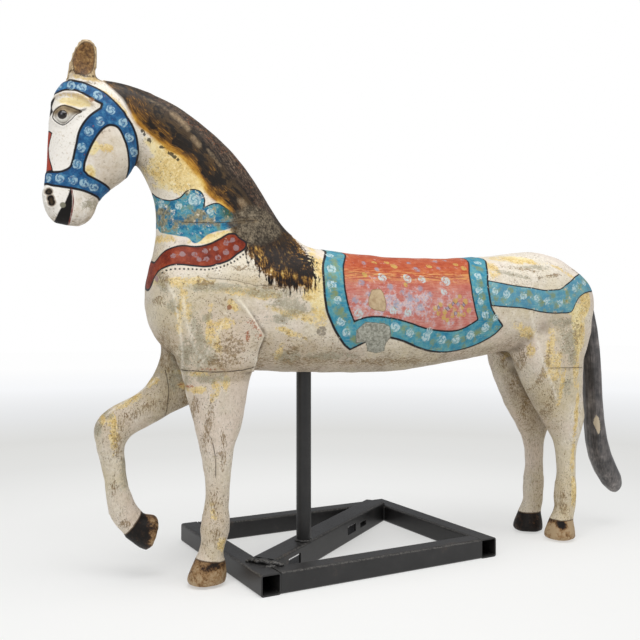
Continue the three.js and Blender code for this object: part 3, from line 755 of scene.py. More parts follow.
    # Filler over the cloth, and the small marks of the face
    patch = mix("plus", mix("mark", "filler"), mix("times", wobble, 1.2))
    lay(mix("ramp", fine, [(0.40, "#77766A"), (0.50, "#98978A"), (0.60, "#B4B3A6")]),
        mix("fade", patch, 1.0, -1.0))
    lay("#5F5A4E", mix("times", outline(patch, 1.1, 0.4), mix("fade", fleck, 0.42, 0.55)))
    tan = mix("plus", mix("mark", "tan"), wobble)
    lay(mix("ramp", fleck, [(0.36, "#A88E6C"), (0.64, "#C4AE8C")]), mix("fade", tan, 1, -1))
    lay("#8A6F4E", outline(tan, 0.9, 0.3))
    paint_area("blaze", "#A8402C", 1.5)
    # Painted shade: a brown band under the browband and a tan one in the socket over the eye
    lay("#8C7353", mix("times", mix("mark", "brow"), mix("plus", 0.35, mix("times", fleck, 0.6))))
    lay("#C0A86F", mix("times", mix("mark", "socket"), 0.6))
    lid = mix("mark", "lid")
    # Inside the lids: tan above as painted shade under the upper lid, white below
    lower = mix("fade", height, 0.861, 0.853)
    inner_lid = mix("over", mix("ramp", fleck, [(0.4, "#8F7C60"), (0.6, "#B09C7C")]), "#ECE8DF", lower)
    lay(inner_lid, mix("fade", lid, 0.5, -0.5))
    rim_ink = outline(lid, 1.6, 0.7)
    lay(mix("over", "#4C3E2D", "#1E1916", lower), rim_ink)
    lay("#2A1C12", mix("mark", "lid_tail"))
    lay("#17120F", mix("fade", mix("plus", mix("mark", "forelock"), wobble), 0.8, -0.8))
    nostril = mix("plus", mix("mark", "nostril"), mix("times", wobble, 0.4))
    lay("#8F7A62", mix("times", mix("fade", nostril, 2.8, 0.9), 0.8))
    lay("#130D0A", mix("fade", nostril, 0.9, -0.7))
    lay("#0E0A09", mix("fade", mix("plus", mix("mark", "mouth"), mix("times", wobble, 0.4)), 0.8, -0.8))
    lay("#6E2B22", mix("fade", mix("mark", "lip"), 1.9, 0.8))
    lay("#7E7B6A", mix("fade", mix("mark", "lip_knob"), 0.8, -0.8))

    # The ears: tan wood showing through on the rims, a brown hollow
    ear_skin = mix("ramp", fine, [(0.38, "#6E5636"), (0.47, "#9A7F56"), (0.56, "#B8A077"),
                                  (0.66, "#D2C09C")])
    lay(ear_skin, mix("times", mix("mark", "ear_skin"), 0.92))
    ear_paint = mix("ramp", blend(0.6, fleck, 0.4, pore), [(0.38, "#3E2C18"), (0.46, "#65472A"),
                                                           (0.54, "#846138"), (0.64, "#A88A58")])
    ear = mix("plus", mix("mark", "ear"), mix("times", wobble, 0.6))
    lay(ear_paint, mix("fade", ear, 1.4, -1.4))
    lay("#4A3620", mix("times", outline(ear, 1.6, 0.6), 0.7))
    base = mix("plus", mix("mark", "ear_base"), mix("times", ragged, 0.8))
    lay("#2E2114", mix("times", mix("fade", base, 3.0, 1.2), mix("fade", pore, 0.60, 0.52), 0.85))

    # The hooves: black-brown, rubbed to the wood at their fronts and rims
    hoof = mix("plus", mix("mark", "hoof"), wobble)
    hoof_paint = mix("ramp", mix("plus", mix("times", cloud, 0.35), mix("times", blotch, 0.4),
                                 mix("times", pore, 0.25),
                                 mix("times", mix("mark", "hoof_wear"), 0.10)),
                     [(0.42, "#15100D"), (0.48, "#2A1E16"), (0.52, "#553C26"), (0.57, "#8E6E49"),
                      (0.64, "#AE9675")])
    lay(hoof_paint, mix("fade", hoof, 1.0, -1.0))
    lay("#4B3522", mix("times", outline(hoof, 1.8, 0.7), 0.8))

    # Darker in the hollows, and the open seams
    hollow = mix("mark", "hollow")
    lay("#54432E", mix("times", mix("fade", hollow, 0.12, 0.9), 0.75))
    beside, gap, openness = three_marks("seam")
    seam_line = mix("plus", beside, mix("times", wobble, 0.6))
    seam_open = mix("times", outline(seam_line, 1.1, 0.35), mix("fade", gap, 4.5, 3.0),
                    mix("fade", fleck, 0.62, 0.52), openness)
    lay("#2A2017", mix("times", seam_open, 0.85))
    halo = mix("times", mix("fade", gap, 7.0, 1.0), mix("fade", fleck, 0.42, 0.6), openness)
    lay("#8B7452", mix("times", halo, 0.5))

    relief = blend(0.15, grain, 0.25, strokes, 0.25, fleck, 0.35, cloud, -1.2, seam_open, -0.25, pits,
                   -0.25, scratches, -0.16, yellow_share, 0.10, dot_share)
    roughness = mix("plus", 0.36, mix("times", fleck, 0.24), mix("times", pits, 0.2),
                    mix("times", grey_share, 0.15), mix("times", grime_and_shade, 0.12))
    return finish.finish(coat, roughness, relief, 1.2 * MM, IOR=1.45, **{"Specular IOR Level": 0.26})


# Oil-based paint on the carved tail, rubbed satin: near-black, greyer where hands have worn it,
# with a chip down to pale bare pine.
def tail_material():
    finish = Finish("black_oil_paint_on_pine")
    mix, blend, pattern = finish.mix, finish.blend, finish.pattern
    strands = pattern(4, stretch=(1, 1, 14), detail=4)
    cloud = pattern(30, detail=5)
    fleck = pattern(5, detail=4, shift=4.0)
    paint = mix("ramp", blend(0.55, cloud, 0.45, strands), [(0.36, "#2A2828"), (0.46, "#454242"),
                                                            (0.56, "#65605E"), (0.66, "#8B8481")])
    paint = mix("over", paint, "#7A6A55", mix("times", mix("fade", fleck, 0.66, 0.72), 0.7))
    chip = mix("plus", mix("mark", "chip"), finish.centred(fleck, 7.0))
    bare = mix("fade", chip, 1.0, -1.0)
    paint = mix("over", paint, "#C4B59C", bare)
    relief = blend(0.5, strands, 0.2, fleck, -0.5, bare)
    roughness = mix("plus", 0.28, mix("times", cloud, 0.2), mix("times", bare, 0.4))
    return finish.finish(paint, roughness, relief, 0.8 * MM, IOR=1.5)


# Satin black lacquer brushed on mild steel: a soft even sheen, dusty on top, thin at the edges, with
# worn lacquer and a painted highlight on the rounded top corners.
def stand_material():
    finish = Finish("satin_black_lacquer_on_steel")
    mix, pattern = finish.mix, finish.pattern
    cloud = pattern(45, detail=5)
    brush = pattern(2.2, stretch=(8, 8, 1), detail=3)
    dust = pattern(3.5, detail=4, shift=6.0)
    facing = add(finish.tree, "ShaderNodeNewGeometry").outputs["Normal"]
    upward = add(finish.tree, "ShaderNodeSeparateXYZ", {}, {0: facing}).outputs[2]
    lacquer = mix("ramp", cloud, [(0.3, "#171616"), (0.55, "#201F1F"), (0.8, "#2C2A29")])
    # Worn lacquer and painted highlight on the rounded corners of the tubes
    edge_wear_and_highlight = mix("times", mix("fade", upward, 0.15, 0.4), mix("fade", upward, 0.97, 0.8))
    dusty = mix("times", mix("fade", upward, 0.5, 1.0), mix("fade", dust, 0.45, 0.75))
    for paint, share in (("#77736D", mix("times", edge_wear_and_highlight, mix("fade", dust, 0.40, 0.62), 0.5)),
                         ("#6A6864", mix("times", dusty, 0.35)),
                         ("#57534E", mix("times", mix("fade", dust, 0.70, 0.76), 0.6)),
                         ("#4A3B30", mix("times", mix("fade", cloud, 0.64, 0.72), 0.4))):
        lacquer = mix("over", lacquer, paint, share)
    relief = finish.blend(0.3, brush, 0.3, dust, 0.4, cloud)
    roughness = mix("plus", 0.34, mix("times", cloud, 0.16), mix("times", dusty, 0.25))
    return finish.finish(lacquer, roughness, relief, 0.35 * MM, IOR=1.5)


# A blown glass eye, painted behind: a wet black-brown iris with a painted reflection at its centre, in
# a grey-white ball that is tan at its top as painted shade under the lid.
def eye_material():
    finish = Finish("painted_glass_eye")
    mix = finish.mix
    reach = mix("mark", "iris")
    cloud = finish.pattern(6, detail=3)
    # Painted shade: the ball is tan at its top under the lid, white below
    ball = mix("over", "#9C8A6E", "#E6E2D9", mix("fade", finish.height, 0.858, 0.850))
    iris = mix("over", "#3A2418", "#0C0909", mix("fade", reach, 0.98, 0.72))
    # Painted reflection: a grey-blue spot at the iris's centre
    iris = mix("over", iris, "#6A6870", mix("times", mix("fade", reach, 0.36, 0.1), 0.7))
    paint = mix("over", ball, iris, mix("fade", reach, 0.98, 0.9))
    rim = mix("far_from", mix("less", reach, 0.98))
    paint = mix("over", paint, "#1E1713", mix("fade", rim, 0.12, 0.04))
    roughness = mix("plus", 0.08, mix("times", cloud, 0.05))
    return finish.finish(paint, roughness, cloud, 0.05 * MM, IOR=1.5)


# Matt white paper swept over a board: the eye sees an even pale ground, greyed by a band of painted
# shade behind the horse and white toward a soft horizon. Far from the horse it glows by itself, as a
# lit paper background does.
def floor_material():
    finish = Finish("pale_studio_floor")
    tree = finish.tree
    paint = finish.mix("over", "#F3F3F2", "#F7F7F6", finish.pattern(400, detail=2))
    board = add(tree, "ShaderNodeBsdfPrincipled", {"Roughness": 0.8}, {"Base Color": paint})
    reach = add(tree, "ShaderNodeVectorMath", {"operation": "LENGTH"}, {0: finish.place}).outputs[1]
    # The glow: a band of painted shade about one and a half to three metres out, whiter beyond
    glow_with_painted_shade = finish.mix("ramp", finish.mix("divided", reach, 8.0),
                       [(0.0, "#F3F3F1"), (0.10, "#F3F3F1"), (0.18, "#E4E4E2"), (0.26, "#DDDDDB"),
                        (0.38, "#E6E7E8"), (0.62, "#F7F8FA"), (1.0, "#FEFEFE")])
    glow = add(tree, "ShaderNodeEmission", {"Strength": 1.0}, {"Color": glow_with_painted_shade})
    both = add(tree, "ShaderNodeMixShader", {}, {0: finish.mix("fade", reach, -1.3, 1.9),
                                                 1: board.outputs[0], 2: glow.outputs[0]})
    add(tree, "ShaderNodeOutputMaterial", {}, {"Surface": both.outputs[0]})
    return finish.material


def placed(name, data):
    """An object of its own name in the scene."""
    made = bpy.data.objects.new(name, data)
    bpy.context.scene.collection.objects.link(made)
    return made


def mesh_from(bm, name):
    """Turns a bmesh into a mesh and lets go of it."""
    mesh = bpy.data.meshes.new(name)
    bm.to_mesh(mesh)
    bm.free()
    return mesh


def piece_from(bm, name, material, replaces=None):
    """Makes a finished piece of a bmesh and hangs it on the horse's one body."""
    mesh = mesh_from(bm, name)
    piece = placed(name, mesh)
    mesh.materials.append(material)
    mesh.shade_smooth()
    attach(piece, "root")
    if replaces:
        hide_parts(replaces)
    return piece


def merged_copy(node):
    """The shape of a CAD node as one joined skin."""
    bm = bmesh.new()
    bm.from_mesh(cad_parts[node].data)
    bmesh.ops.remove_doubles(bm, verts=bm.verts, dist=1e-5)
    return bm


def remeshed(bm, grid):
    """The same closed shape in small even faces, ready for carving."""
    mesh = mesh_from(bm, "carving_blank")
    blank = placed("carving_blank", mesh)
    remesh = blank.modifiers.new("even_faces", "REMESH")
    remesh.mode = "VOXEL"
    remesh.voxel_size = grid
    made = blank.evaluated_get(bpy.context.evaluated_depsgraph_get()).to_mesh()
    result = bmesh.new()
    result.from_mesh(made)
    bpy.data.objects.remove(blank)
    bpy.data.meshes.remove(mesh)
    return result


def smooth_in(bm, passes, inside, strength=0.5):
    """Rubs down the part of a shape where inside says so."""
    verts = [v for v in bm.verts if inside(v.co / MM)]
    for _ in range(passes):
        bmesh.ops.smooth_vert(bm, verts=verts, factor=strength, use_axis_x=True, use_axis_y=True,
                              use_axis_z=True)


def is_broad(place):
    """True on the trunk, the neck and the upper legs, whose forms are broad and plain."""
    head = place.x < -335 and place.z > 650
    return not head and place.z > 130 and place.z < 915


def is_ear(place):
    return place.z > 922 and place.x < -400


def soft_step(values, start, end):
    t = np.clip((values - start) / (end - start), 0, 1)
    return t * t * (3 - 2 * t)


def hump(distance, width):
    return np.exp(-(distance / width) ** 2)


def carve(bm):
    """Sculpts the horse: the straps' relief, the eye, the nostril, the elbow and the tool marks."""
    mesh = bpy.data.meshes.new("carving")
    bm.to_mesh(mesh)
    marks = Marks(mesh)
    x, y, z = marks.x, marks.y, marks.z
    lift = strap_relief_mm * soft_step(-marks.line_distance(bridle_line), -1.5, 1.5)
    lift += blanket_relief_mm * soft_step(-marks.line_distance(cloth_line), -2, 2)
    lift += strap_relief_mm * soft_step(-marks.line_distance(crupper_line), -2, 2)
    face = x < -400
    lid = marks.line_distance(lid_line)
    lift += face * (1.7 * hump(lid - 2.0, 2.2) - 3.0 * soft_step(-lid, -0.5, 2.5))
    lift += face * 1.5 * hump(marks.line_gap(brow_line), 6)
    for nx, nz, radius in nostrils:
        gap = np.hypot(x - nx, z - nz)
        lift += face * (1.6 * hump(gap - radius - 2.5, 2.5) - 4 * soft_step(radius - gap, 0, radius))
    inside = marks.line_distance(elbow_line)
    ahead = np.clip((-119 - x) / 60, 0, 1)
    lift += (y < 0) * elbow_relief_mm * soft_step(-inside, -2.5, 2.5) * (1 - soft_step(ahead, 0, 1))
    for line, rise in ridges:
        lift += (y < 0) * rise * np.exp(-marks.line_gap(line) / 5)
    for line, rise in far_ridges:
        lift += (y > 0) * (x < -280) * rise * np.exp(-marks.line_gap(line) / 5)
    waves = np.zeros(len(x))
    for reach in (34, 52, 80):
        way = seed.normal(size=(5, 3))
        way /= np.linalg.norm(way, axis=1)[:, None] * reach
        for direction, start in zip(way, seed.uniform(0, 6.28, 5)):
            waves += np.sin(2 * math.pi * (marks.place @ direction) + start) / 5
    plain = soft_step(-z, -700, -600)
    lift += hand_carving_mm * waves * (0.3 + 0.7 * plain)
    crest = soft_step(marks.normal[:, 2], 0.2, 0.7) * (z > 660) * (x > -400) * (z < 930)
    lift += crest_rise_mm * crest
    for seam, _ in seams:
        lift -= seam_cut_mm * hump(marks.line_gap(seam), 2.6) * (z < 575)
    moved = (marks.place + marks.normal * lift[:, None]) * MM
    moved = np.clip(moved, *np.array(cad_box))
    for vert, place in zip(bm.verts, moved):
        vert.co = place
    bpy.data.meshes.remove(mesh)


def dots_on_horse():
    """Every painted dot as x, z, radius and kind."""
    dots = [(px, pz, 8.5, 0) for px, pz in bridle_rosettes]
    dots += [(*d, 1) for d in cloth_rosettes + panel_whites + collar_rosettes]
    dots += [(*d, 2) for d in cloth_olives]
    dots += [(*d, 3) for d in panel_blues]
    dots += [(*d, 4) for d in mane_dabs]
    dots += [(*d, 5) for d in breast_rosettes]
    dots += [(*d, 6) for d in panel_ochres]
    dots += [(-184, 517, 5, 7), (-6, 473, 10, 8), (-423, 884, 5, 7)]
    return dots


def paint(mesh):
    """Keeps on the horse's mesh how far each point lies from every painted or worn thing."""
    marks = Marks(mesh)
    x, y, z = marks.x, marks.y, marks.z
    face = x < -330
    front = (x < -120) & (z > 500)
    areas = {
        "bridle": (bridle_line, face & (z > 640)),
        "mane": (mane_line, z > 500),
        "collar": (collar_line, front & ((x > -338) | (z < 735))),
        "breast": (breast_line, front),
        "cloth": (cloth_line, (x > -40) & (x < 460)),
        "panel": (panel_line, (x > -40) & (x < 460)),
        "crupper": (crupper_line, x > 360),
        "filler": (filler_line, (y < 0) & (z > 400)),
        "tan": (tan_line, (y < 0) & (z > 400)),
        "neck_filler": (neck_filler_line, y < 0),
        "blaze": (blaze_line, face),
        "lid": (lid_line, face),
        "forelock": (forelock_line, face),
        "mouth": (mouth_line, face),
    }
    found = {}
    for name, (line, where) in areas.items():
        distance = marks.line_distance(line)
        if name == "lid":
            distance = np.clip(distance, -20, 20)
        found[name] = np.where(where, distance, far_away)
    found["mane"] = np.where(is_ear_array(marks), far_away, found["mane"])
    found["crupper"] = np.maximum(found["crupper"], 2 - found["cloth"])
    for name, values in found.items():
        marks.keep(name, np.clip(values, -2 * far_away, far_away))
    ear = marks.line_distance(ear_hollow_line)
    outward = marks.normal[:, 1] * np.sign(y) > 0.25
    marks.keep("ear", np.where((z > 915) & outward, ear, far_away))
    # Painted shade along the brow, under the browband
    marks.keep("brow", face * hump(marks.line_gap(brow_line), 4.5))
    marks.keep("lid_tail", face * hump(marks.line_gap(lid_tail_line), 1.8))
    marks.keep("lip", np.where(face, marks.line_gap(lip_line), far_away))
    lobes = [np.hypot(x - nx, z - nz) - radius for nx, nz, radius in nostrils]
    marks.keep("nostril", np.where(face, np.minimum.reduce(lobes), far_away))
    knob = np.hypot(x - lip_knob[0], z - lip_knob[1]) - lip_knob[2]
    marks.keep("lip_knob", np.where(face, knob, far_away))

    # Hooves: under the slanting line of each coronet
    standing = z - np.where(x < 0, 47 - 0.13 * (x + 205), 47 + 0.02 * (x - 606))
    raised = -((x + 337) * 0.78 - (z - 104) * 0.62)
    on_raised = (y > 0) & (x < -280) & (z < 140)
    marks.keep("hoof", np.where(on_raised, raised, np.clip(standing, -far_away, far_away)))

    # Dots: each point keeps its offset from the nearest dot's centre, in radii, and its kind
    best = np.full(len(x), 9.0)
    offset = np.zeros((len(x), 3))
    widen_x, widen_z = marks.across(1, 0), marks.across(0, 1)
    for px, pz, radius, kind in dots_on_horse():
        ox, oz = (x - px) * widen_x / radius, (z - pz) * widen_z / radius
        gap = np.hypot(ox, oz)
        closer = gap < best
        best = np.where(closer, gap, best)
        offset[closer] = np.stack([ox, oz, np.full(len(x), kind)], 1)[closer]
    hidden = (z < 400) | is_ear_array(marks) | ((y > 0) & (z < 535) & (x < 0))
    marks.keep("dot", offset)
    marks.keep("dot_gap", np.where(hidden, 9.0, best))

    _, from_beads = marks.line_distance(bead_line, closed=False)
    marks.keep("beads", np.stack([from_beads, marks.along, 1.0 * (y < 0)], 1))

    nearest = np.full(len(x), far_away)
    beside = np.full(len(x), far_away)
    strong = np.zeros(len(x))
    for seam, openness in seams:
        gap, side = marks.line_distance(seam, closed=False)
        far_one = seam[0][0] < -275
        gap = np.where((y > 0) if far_one else (y < 0), gap, far_away)
        closer = gap < nearest
        nearest = np.where(closer, gap, nearest)
        beside = np.where(closer, side, beside)
        strong = np.where(closer, openness, strong)
    marks.keep("seam", np.stack([beside, nearest, strong], 1))

    def worn(places, far_share):
        weight = np.zeros(len(x))
        for px, pz, wide, tall, lean in places:
            turn = math.radians(lean)
            across = (x - px) * math.cos(turn) + (z - pz) * math.sin(turn)
            up = (z - pz) * math.cos(turn) - (x - px) * math.sin(turn)
            reach = (across / wide) ** 2 + (up / tall) ** 2
            weight = np.maximum(weight, np.exp(-(reach ** 2) * 0.6))
        near_side = np.where(x < -280, True, y < 20)
        return weight * np.where(near_side, 1.0, far_share)

    wear = [worn(yellow_places, 0.4), worn(grey_places, 0.35), worn(brown_places, 0.6)]
    marks.keep("wear", np.stack(wear, 1))
    marks.keep("rust", worn(rust_places, 0.0))
    marks.keep("wash", np.stack([worn(tan_washes, 0.8), worn(lemon_washes, 0.6), 0 * x], 1))
    marks.keep("clean", 0.92 * soft_step(-x, 325, 360) * (z > 640) * (z < 925))
    marks.keep("ear_base", np.where(x < -395, marks.line_gap(ear_base_line), far_away))
    marks.keep("mane_start", 24 * soft_step(-x, 340, 372) * (z > 820))
    marks.keep("collar_dark", soft_step(x, -206, -180) * soft_step(z, 676, 690))
    marks.keep("smudge", marks.blob(170, 525, 110, 34))
    marks.keep("limb", soft_step(-z, -430, -340))
    # Painted light: the face, the neck and the top of the back are painted lighter where the light
    # falls on them
    face_light = 0.85 * soft_step(-x, 385, 440) * (z > 640)
    neck_light = 0.40 * soft_step(-x, 180, 230) * (z > 640)
    back_light = 0.30 * soft_step(z, 540, 620)
    marks.keep("bright", np.maximum(np.maximum(face_light, neck_light), back_light))
    marks.keep("tuft", soft_step(-z, -668, -632) * soft_step(x, -175, -150))
    marks.keep("hollow", hollows(marks))

    # The mane's strokes run along its lower edge; the bare places in it are short strokes too
    depth = marks.line_gap(mane_edge)
    marks.keep("hair", np.stack([marks.along, depth, y], 1) * MM)
    bare = np.full(len(x), far_away)
    for stroke, half_width in bare_strokes:
        bare = np.minimum(bare, marks.line_gap(stroke) - half_width)
    marks.keep("bare", np.where(y < 0, bare, far_away))
    # Along the carved edges: worn paint and painted highlight
    light = np.zeros(len(x))
    for lines, side in ((ridges, -1), (far_ridges, 1)):
        for line, rise in lines:
            shine = hump(marks.line_gap(line), 2.4) * min(1.0, rise)
            light = np.maximum(light, (y * side > 0) * shine)
    marks.keep("ridge", light)
    collar_wear = (marks.blob(-236, 676, 60, 9) + marks.blob(-292, 696, 16, 9)
                   + marks.blob(-232, 690, 14, 8))
    marks.keep("collar_wear", 0.13 * np.clip(collar_wear, 0, 1))

    # Undersides, and the sides of the legs that face each other, hold the grime and painted shade; the
    # dark in the armpit is painted shadow
    below = soft_step(-marks.normal[:, 2], 0.15, 0.85) * (z > 300)
    inner = soft_step(-marks.normal[:, 1] * np.sign(y), 0.1, 0.7) * soft_step(-z, -440, -390)
    raised_shin = (y > 0) * soft_step(-x, 275, 300)
    inner *= 1 - 0.85 * raised_shin
    throat = 0.5 * soft_step(-marks.normal[:, 2], 0.2, 0.9) * (1 - 0.6 * raised_shin)
    # Painted shadow between the forelegs, under the chest
    armpit = 1.3 * marks.blob(-268, 400, 30, 55) * (y > -15)
    low_belly = 0.55 * soft_step(-z, -440, -395) * (np.abs(x) < 240) * (z > 380)
    grime_and_shade = np.maximum.reduce([below, inner, throat, armpit, low_belly])
    grime_and_shade = grime_and_shade * (1 - 0.55 * soft_step(-z, -300, -160))
    marks.keep("under", np.clip(grime_and_shade, 0, 1))
    marks.keep("ear_skin", soft_step(z, 915, 935) * (x < -395))
    # Painted shade in the socket over the eye
    marks.keep("socket", marks.blob(-452, 876, 24, 8) * face)
    hoof_wear = 0.5 + 0.5 * soft_step(-z, -34, -6)
    hoof_wear = np.where((x > 300) & (y < 0), 1.3, hoof_wear)
    hoof_wear = np.where((x > 300) & (y >= 0), -0.7 + 1.4 * soft_step(-x, -556, -548), hoof_wear)
    hoof_wear = np.where(on_raised, -0.9 + 1.5 * soft_step(x, -316, -300), hoof_wear)
    hoof_wear -= 3.0 * marks.blob(594, 40, 9, 9) * (y < 0)
    hoof_wear -= 1.2 * marks.blob(-205, 40, 16, 7)
    marks.keep("hoof_wear", hoof_wear)


def is_ear_array(marks):
    return (marks.z > 926) & (marks.x < -400)


def hollows(marks):
    """How much the surface dips below its neighbours, from 0 on plain forms to 1 in a crease."""
    place, normal, edges = marks.place, marks.normal, marks.mesh.edges
    count = len(place)
    ends = np.empty(len(edges) * 2, int)
    edges.foreach_get("vertices", ends)
    a, b = ends.reshape(-1, 2).T
    neighbours = np.bincount(a, minlength=count) + np.bincount(b, minlength=count)
    rise = np.einsum("ij,ij->i", place[b] - place[a], normal[a])
    fall = np.einsum("ij,ij->i", place[a] - place[b], normal[b])
    dip = (np.bincount(a, rise, count) + np.bincount(b, fall, count)) / neighbours
    for _ in range(6):
        total = np.bincount(a, dip[b], count) + np.bincount(b, dip[a], count)
        dip = 0.5 * dip + 0.5 * total / neighbours
    return np.clip(dip / 0.22, 0, 1)


def fill_mouth(bm):
    """Closes the middle of the mouth's gap, so that it is a deep cut at each side, not a slot."""
    half = 11 * MM
    corners = [bm.verts.new((gx * MM, -half, gz * MM)) for gx, gz in mouth_gap]
    face = bm.faces.new(corners)
    made = bmesh.ops.extrude_face_region(bm, geom=[face])
    moved = [v for v in made["geom"] if isinstance(v, bmesh.types.BMVert)]
    bmesh.ops.translate(bm, vec=(0, 2 * half, 0), verts=moved)
    bmesh.ops.recalc_face_normals(bm, faces=bm.faces)


def is_detailed(place):
    """True on the head and over the saddle cloth and the elbow, which carry the finest work."""
    head = place.x < -338 and place.z > 640
    cloth = -10 < place.x < 415 and 425 < place.z < 640 and place.y < -20
    elbow = -190 < place.x < -95 and 385 < place.z < 550 and place.y < 0
    return head or cloth or elbow


def make_horse(material):
    bm = merged_copy("horse")
    fill_mouth(bm)
    bm = remeshed(bm, body_grid)
    smooth_in(bm, fine_smoothing, lambda place: not is_ear(place))
    smooth_in(bm, 2, is_ear)
    smooth_in(bm, broad_smoothing, is_broad)
    fine_edges = [e for e in bm.edges if all(is_detailed(v.co / MM) for v in e.verts)]
    bmesh.ops.subdivide_edges(bm, edges=fine_edges, cuts=1, use_grid_fill=True)
    smooth_in(bm, 2, is_detailed)
    bm.normal_update()
    carve(bm)
    horse = piece_from(bm, "carved_horse", material, "horse")
    paint(horse.data)
    return horse


def make_eyes(horse, material):
    """Two glass domes, set in the hollows between the lids."""
    places = np.empty(len(horse.data.vertices) * 3)
    horse.data.vertices.foreach_get("co", places)
    places = places.reshape(-1, 3)
    for side, name in ((-1, "near_eye"), (1, "far_eye")):
        x, z = eye_centre_mm[0] * MM, eye_centre_mm[1] * MM
        close = np.hypot(places[:, 0] - x, places[:, 2] - z) < 6 * MM
        skin = np.abs(places[close & (places[:, 1] * side > 0), 1]).max()
        facing = Vector((-0.42, side, 0.12)).normalized()
        centre = Vector((x, side * skin, z)) - facing * (eye_radius - 3.4 * MM)
        bm = bmesh.new()
        bmesh.ops.create_uvsphere(bm, u_segments=40, v_segments=28, radius=eye_radius)
        bmesh.ops.bisect_plane(bm, geom=bm.verts[:] + bm.edges[:] + bm.faces[:],
                               plane_co=(0, 0, 0.2 * eye_radius), plane_no=(0, 0, -1), clear_outer=True)
        for vert in bm.verts:
            reach = math.hypot(vert.co.x, vert.co.y) / iris_radius
            vert.co.z += iris_bulge * max(0.0, 1 - reach ** 2)
        turn = facing.to_track_quat("Z", "Y").to_matrix().to_4x4()
        bmesh.ops.transform(bm, matrix=Matrix.Translation(centre) @ turn, verts=bm.verts)
        bmesh.ops.recalc_face_normals(bm, faces=bm.faces)
        mesh = piece_from(bm, name, material).data
        iris = mesh.attributes.new("iris", "FLOAT", "POINT")
        axis_gap = [((v.co - centre) - facing * (v.co - centre).dot(facing)).length / iris_radius
                    for v in mesh.vertices]
        iris.data.foreach_set("value", axis_gap)


def make_tail(material):
    bm = remeshed(merged_copy("tail"), tail_grid)
    smooth_in(bm, 14, lambda place: place.z < 540)
    smooth_in(bm, 4, lambda place: place.z >= 540)
    low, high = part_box("tail")
    for vert in bm.verts:
        groove = math.sin(vert.co.y / (7 * MM) * math.pi + vert.co.z / (90 * MM))
        vert.co.x += 0.35 * MM * groove
        vert.co.x = min(max(vert.co.x, low.x), high.x)
    bm.normal_update()
    tail = piece_from(bm, "carved_tail", material, "tail")
    marks = Marks(tail.data)
    chip = marks.line_distance(curve([(733, 273), (740, 260), (742, 238), (738, 228), (734, 240),
                                      (730, 256), (733, 273)]))
    marks.keep("chip", np.where(marks.y < 0, chip, far_away))


def make_post(material):
    """The round tube that carries the horse, turned from its wall's profile."""
    low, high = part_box("post")
    bm = bmesh.new()
    inner = post_radius - post_wall
    profile = [(inner, low.z), (post_radius, low.z), (post_radius, high.z), (inner, high.z)]
    verts = [bm.verts.new((r, 0, z)) for r, z in profile]
    edges = [bm.edges.new((a, b)) for a, b in zip(verts, verts[1:] + verts[:1])]
    bmesh.ops.spin(bm, geom=verts + edges, axis=(0, 0, 1), cent=(0, 0, 0), angle=2 * math.pi, steps=64,
                   use_merge=True)
    bmesh.ops.remove_doubles(bm, verts=bm.verts, dist=1e-6)
    bmesh.ops.recalc_face_normals(bm, faces=bm.faces)
    piece = piece_from(bm, "post_tube", material, "post")
    piece.data.set_sharp_from_angle(angle=math.radians(40))


def weld_bead(path, radius):
    """A run of weld metal: overlapping ripples laid along a line, as a bmesh."""
    bm = bmesh.new()
    points = np.array(path, float)
    lengths = np.concatenate([[0], np.cumsum(np.linalg.norm(np.diff(points, axis=0), axis=1))])
    for stop in np.arange(0, lengths[-1] + 1e-9, weld_pitch):
        place = [np.interp(stop, lengths, points[:, i]) for i in range(3)]
        size = radius * seed.uniform(0.78, 1.18)
        made = bmesh.ops.create_icosphere(bm, subdivisions=2, radius=size)
        bmesh.ops.scale(bm, vec=(1, 1, 0.75), verts=made["verts"])
        bmesh.ops.translate(bm, vec=place, verts=made["verts"])
    return bm


def make_welds(material):
    """The welds that show: round the post's foot, and where the bar meets the frame."""
    turned = Matrix.Rotation(frame_turn, 3, "Z")

    def on_frame(points):
        return [turned @ Vector(p) * MM for p in points]

    def on_bar(along, across, height):
        c, s = math.cos(bar_turn), math.sin(bar_turn)
        return along * c - across * s, along * s + across * c, height

    ring = [((post_radius + 0.5 * MM) * math.cos(t), (post_radius + 0.5 * MM) * math.sin(t), bar_height
             + 1.5 * MM) for t in np.linspace(0, 2 * math.pi, 40)]
    cut_end = [on_bar(-bar_end_mm - lap, across, height) for across, height,
               lap in ((42, 41, 4), (30, 45, 3), (20, 43, 5), (8, 45, 3), (-4, 43, 5), (-16, 44, 3),
                       (-27, 41, 0))]
    rear_joint = [on_bar(406, -15.5, 6), on_bar(406, -15.5, 47)]
    runs = {"post_weld": (ring, 3.4 * MM), "cut_end_weld": (on_frame(cut_end), 7.2 * MM),
            "corner_weld": (on_frame([(-125, -98, 38.5), (-110, -98, 38.5)]), 6.5 * MM),
            "rear_joint_weld": (on_frame(rear_joint), 2.6 * MM)}
    for end, x in (("front", -119), ("rear", 341)):
        for side, y in (("near", -121), ("far", 269)):
            seam = [(x, y - tube / 2 + 2, 39.4), (x, y + tube / 2 - 2, 39.4)]
            runs[f"{end}_{side}_weld"] = (on_frame(seam), 1.5 * MM)
    for name, (path, radius) in runs.items():
        bm = remeshed(weld_bead(path, radius), weld_grid)
        bmesh.ops.smooth_vert(bm, verts=bm.verts, factor=0.4, use_axis_x=True, use_axis_y=True,
                              use_axis_z=True)
        piece_from(bm, name, material, None)


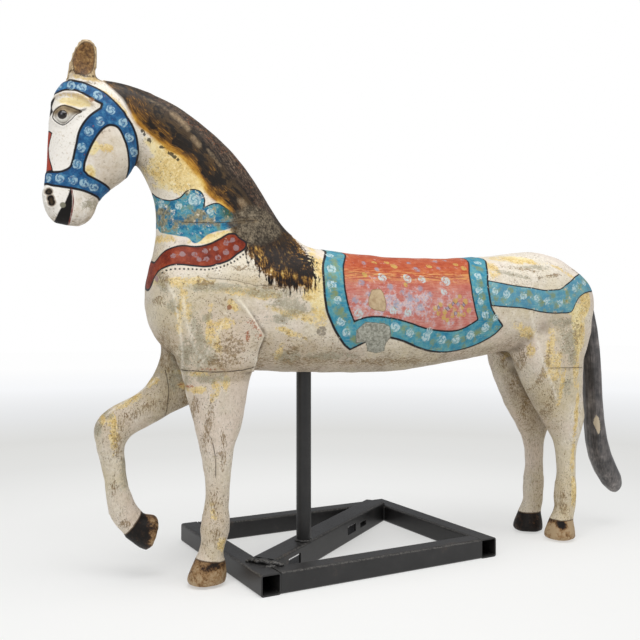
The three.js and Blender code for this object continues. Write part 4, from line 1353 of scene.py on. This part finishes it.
def make_stage():
    """A pale floor under a white backdrop, with soft light from above and both sides."""
    bm = bmesh.new()
    bmesh.ops.create_grid(bm, x_segments=2, y_segments=2, size=14)
    floor = placed("studio_floor", mesh_from(bm, "studio_floor"))
    floor.data.materials.append(floor_material())

    def soft_light(name, place, aim, width, height, power):
        light = bpy.data.lights.new(name, "AREA")
        light.shape = "RECTANGLE"
        light.size = width
        light.size_y = height
        light.energy = power
        lamp = placed(name, light)
        lamp.location = place
        lamp.rotation_euler = (Vector(aim) - Vector(place)).to_track_quat("-Z", "Y").to_euler()

    soft_light("overhead_softbox", (-0.2, -0.7, 2.8), (0.1, 0, 0.4), 2.2, 1.8, 58)
    soft_light("left_softbox", (-2.4, -1.8, 1.7), (-0.1, 0, 0.6), 1.4, 1.4, 14)
    soft_light("right_softbox", (2.4, -2.2, 1.6), (0.3, 0, 0.5), 1.4, 1.4, 14)

    world = bpy.data.worlds.new("white_studio")
    bpy.context.scene.world = world
    world.use_nodes = True
    tree = world.node_tree
    tree.nodes.clear()
    path = add(tree, "ShaderNodeLightPath")
    lighting = add(tree, "ShaderNodeBackground", {"Color": "#F4F6FA", "Strength": 0.42})
    backdrop = add(tree, "ShaderNodeBackground", {"Color": "#FFFFFF", "Strength": 1.0})
    both = add(tree, "ShaderNodeMixShader", {}, {0: path.outputs["Is Camera Ray"],
                                                 1: lighting.outputs[0], 2: backdrop.outputs[0]})
    add(tree, "ShaderNodeOutputWorld", {}, {"Surface": both.outputs[0]})


def make_camera():
    lens = bpy.data.cameras.new("photograph")
    lens.lens = camera_lens
    lens.sensor_width = 36
    lens.sensor_fit = "HORIZONTAL"
    camera = placed("photograph", lens)
    camera.location = camera_place
    camera.rotation_euler = (math.pi / 2 + camera_pitch, 0, camera_turn)
    bpy.context.scene.camera = camera


make_camera()
make_stage()
lacquer = stand_material()
for node in ("front_crossbar", "rear_crossbar", "near_rail", "far_rail", "diagonal_bar"):
    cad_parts[node].data.materials.clear()
    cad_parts[node].data.materials.append(lacquer)
make_post(lacquer)
make_welds(lacquer)
carved_horse = make_horse(painted_wood_material())
make_eyes(carved_horse, eye_material())
make_tail(tail_material())
bpy.context.scene.view_settings.view_transform = "Standard"
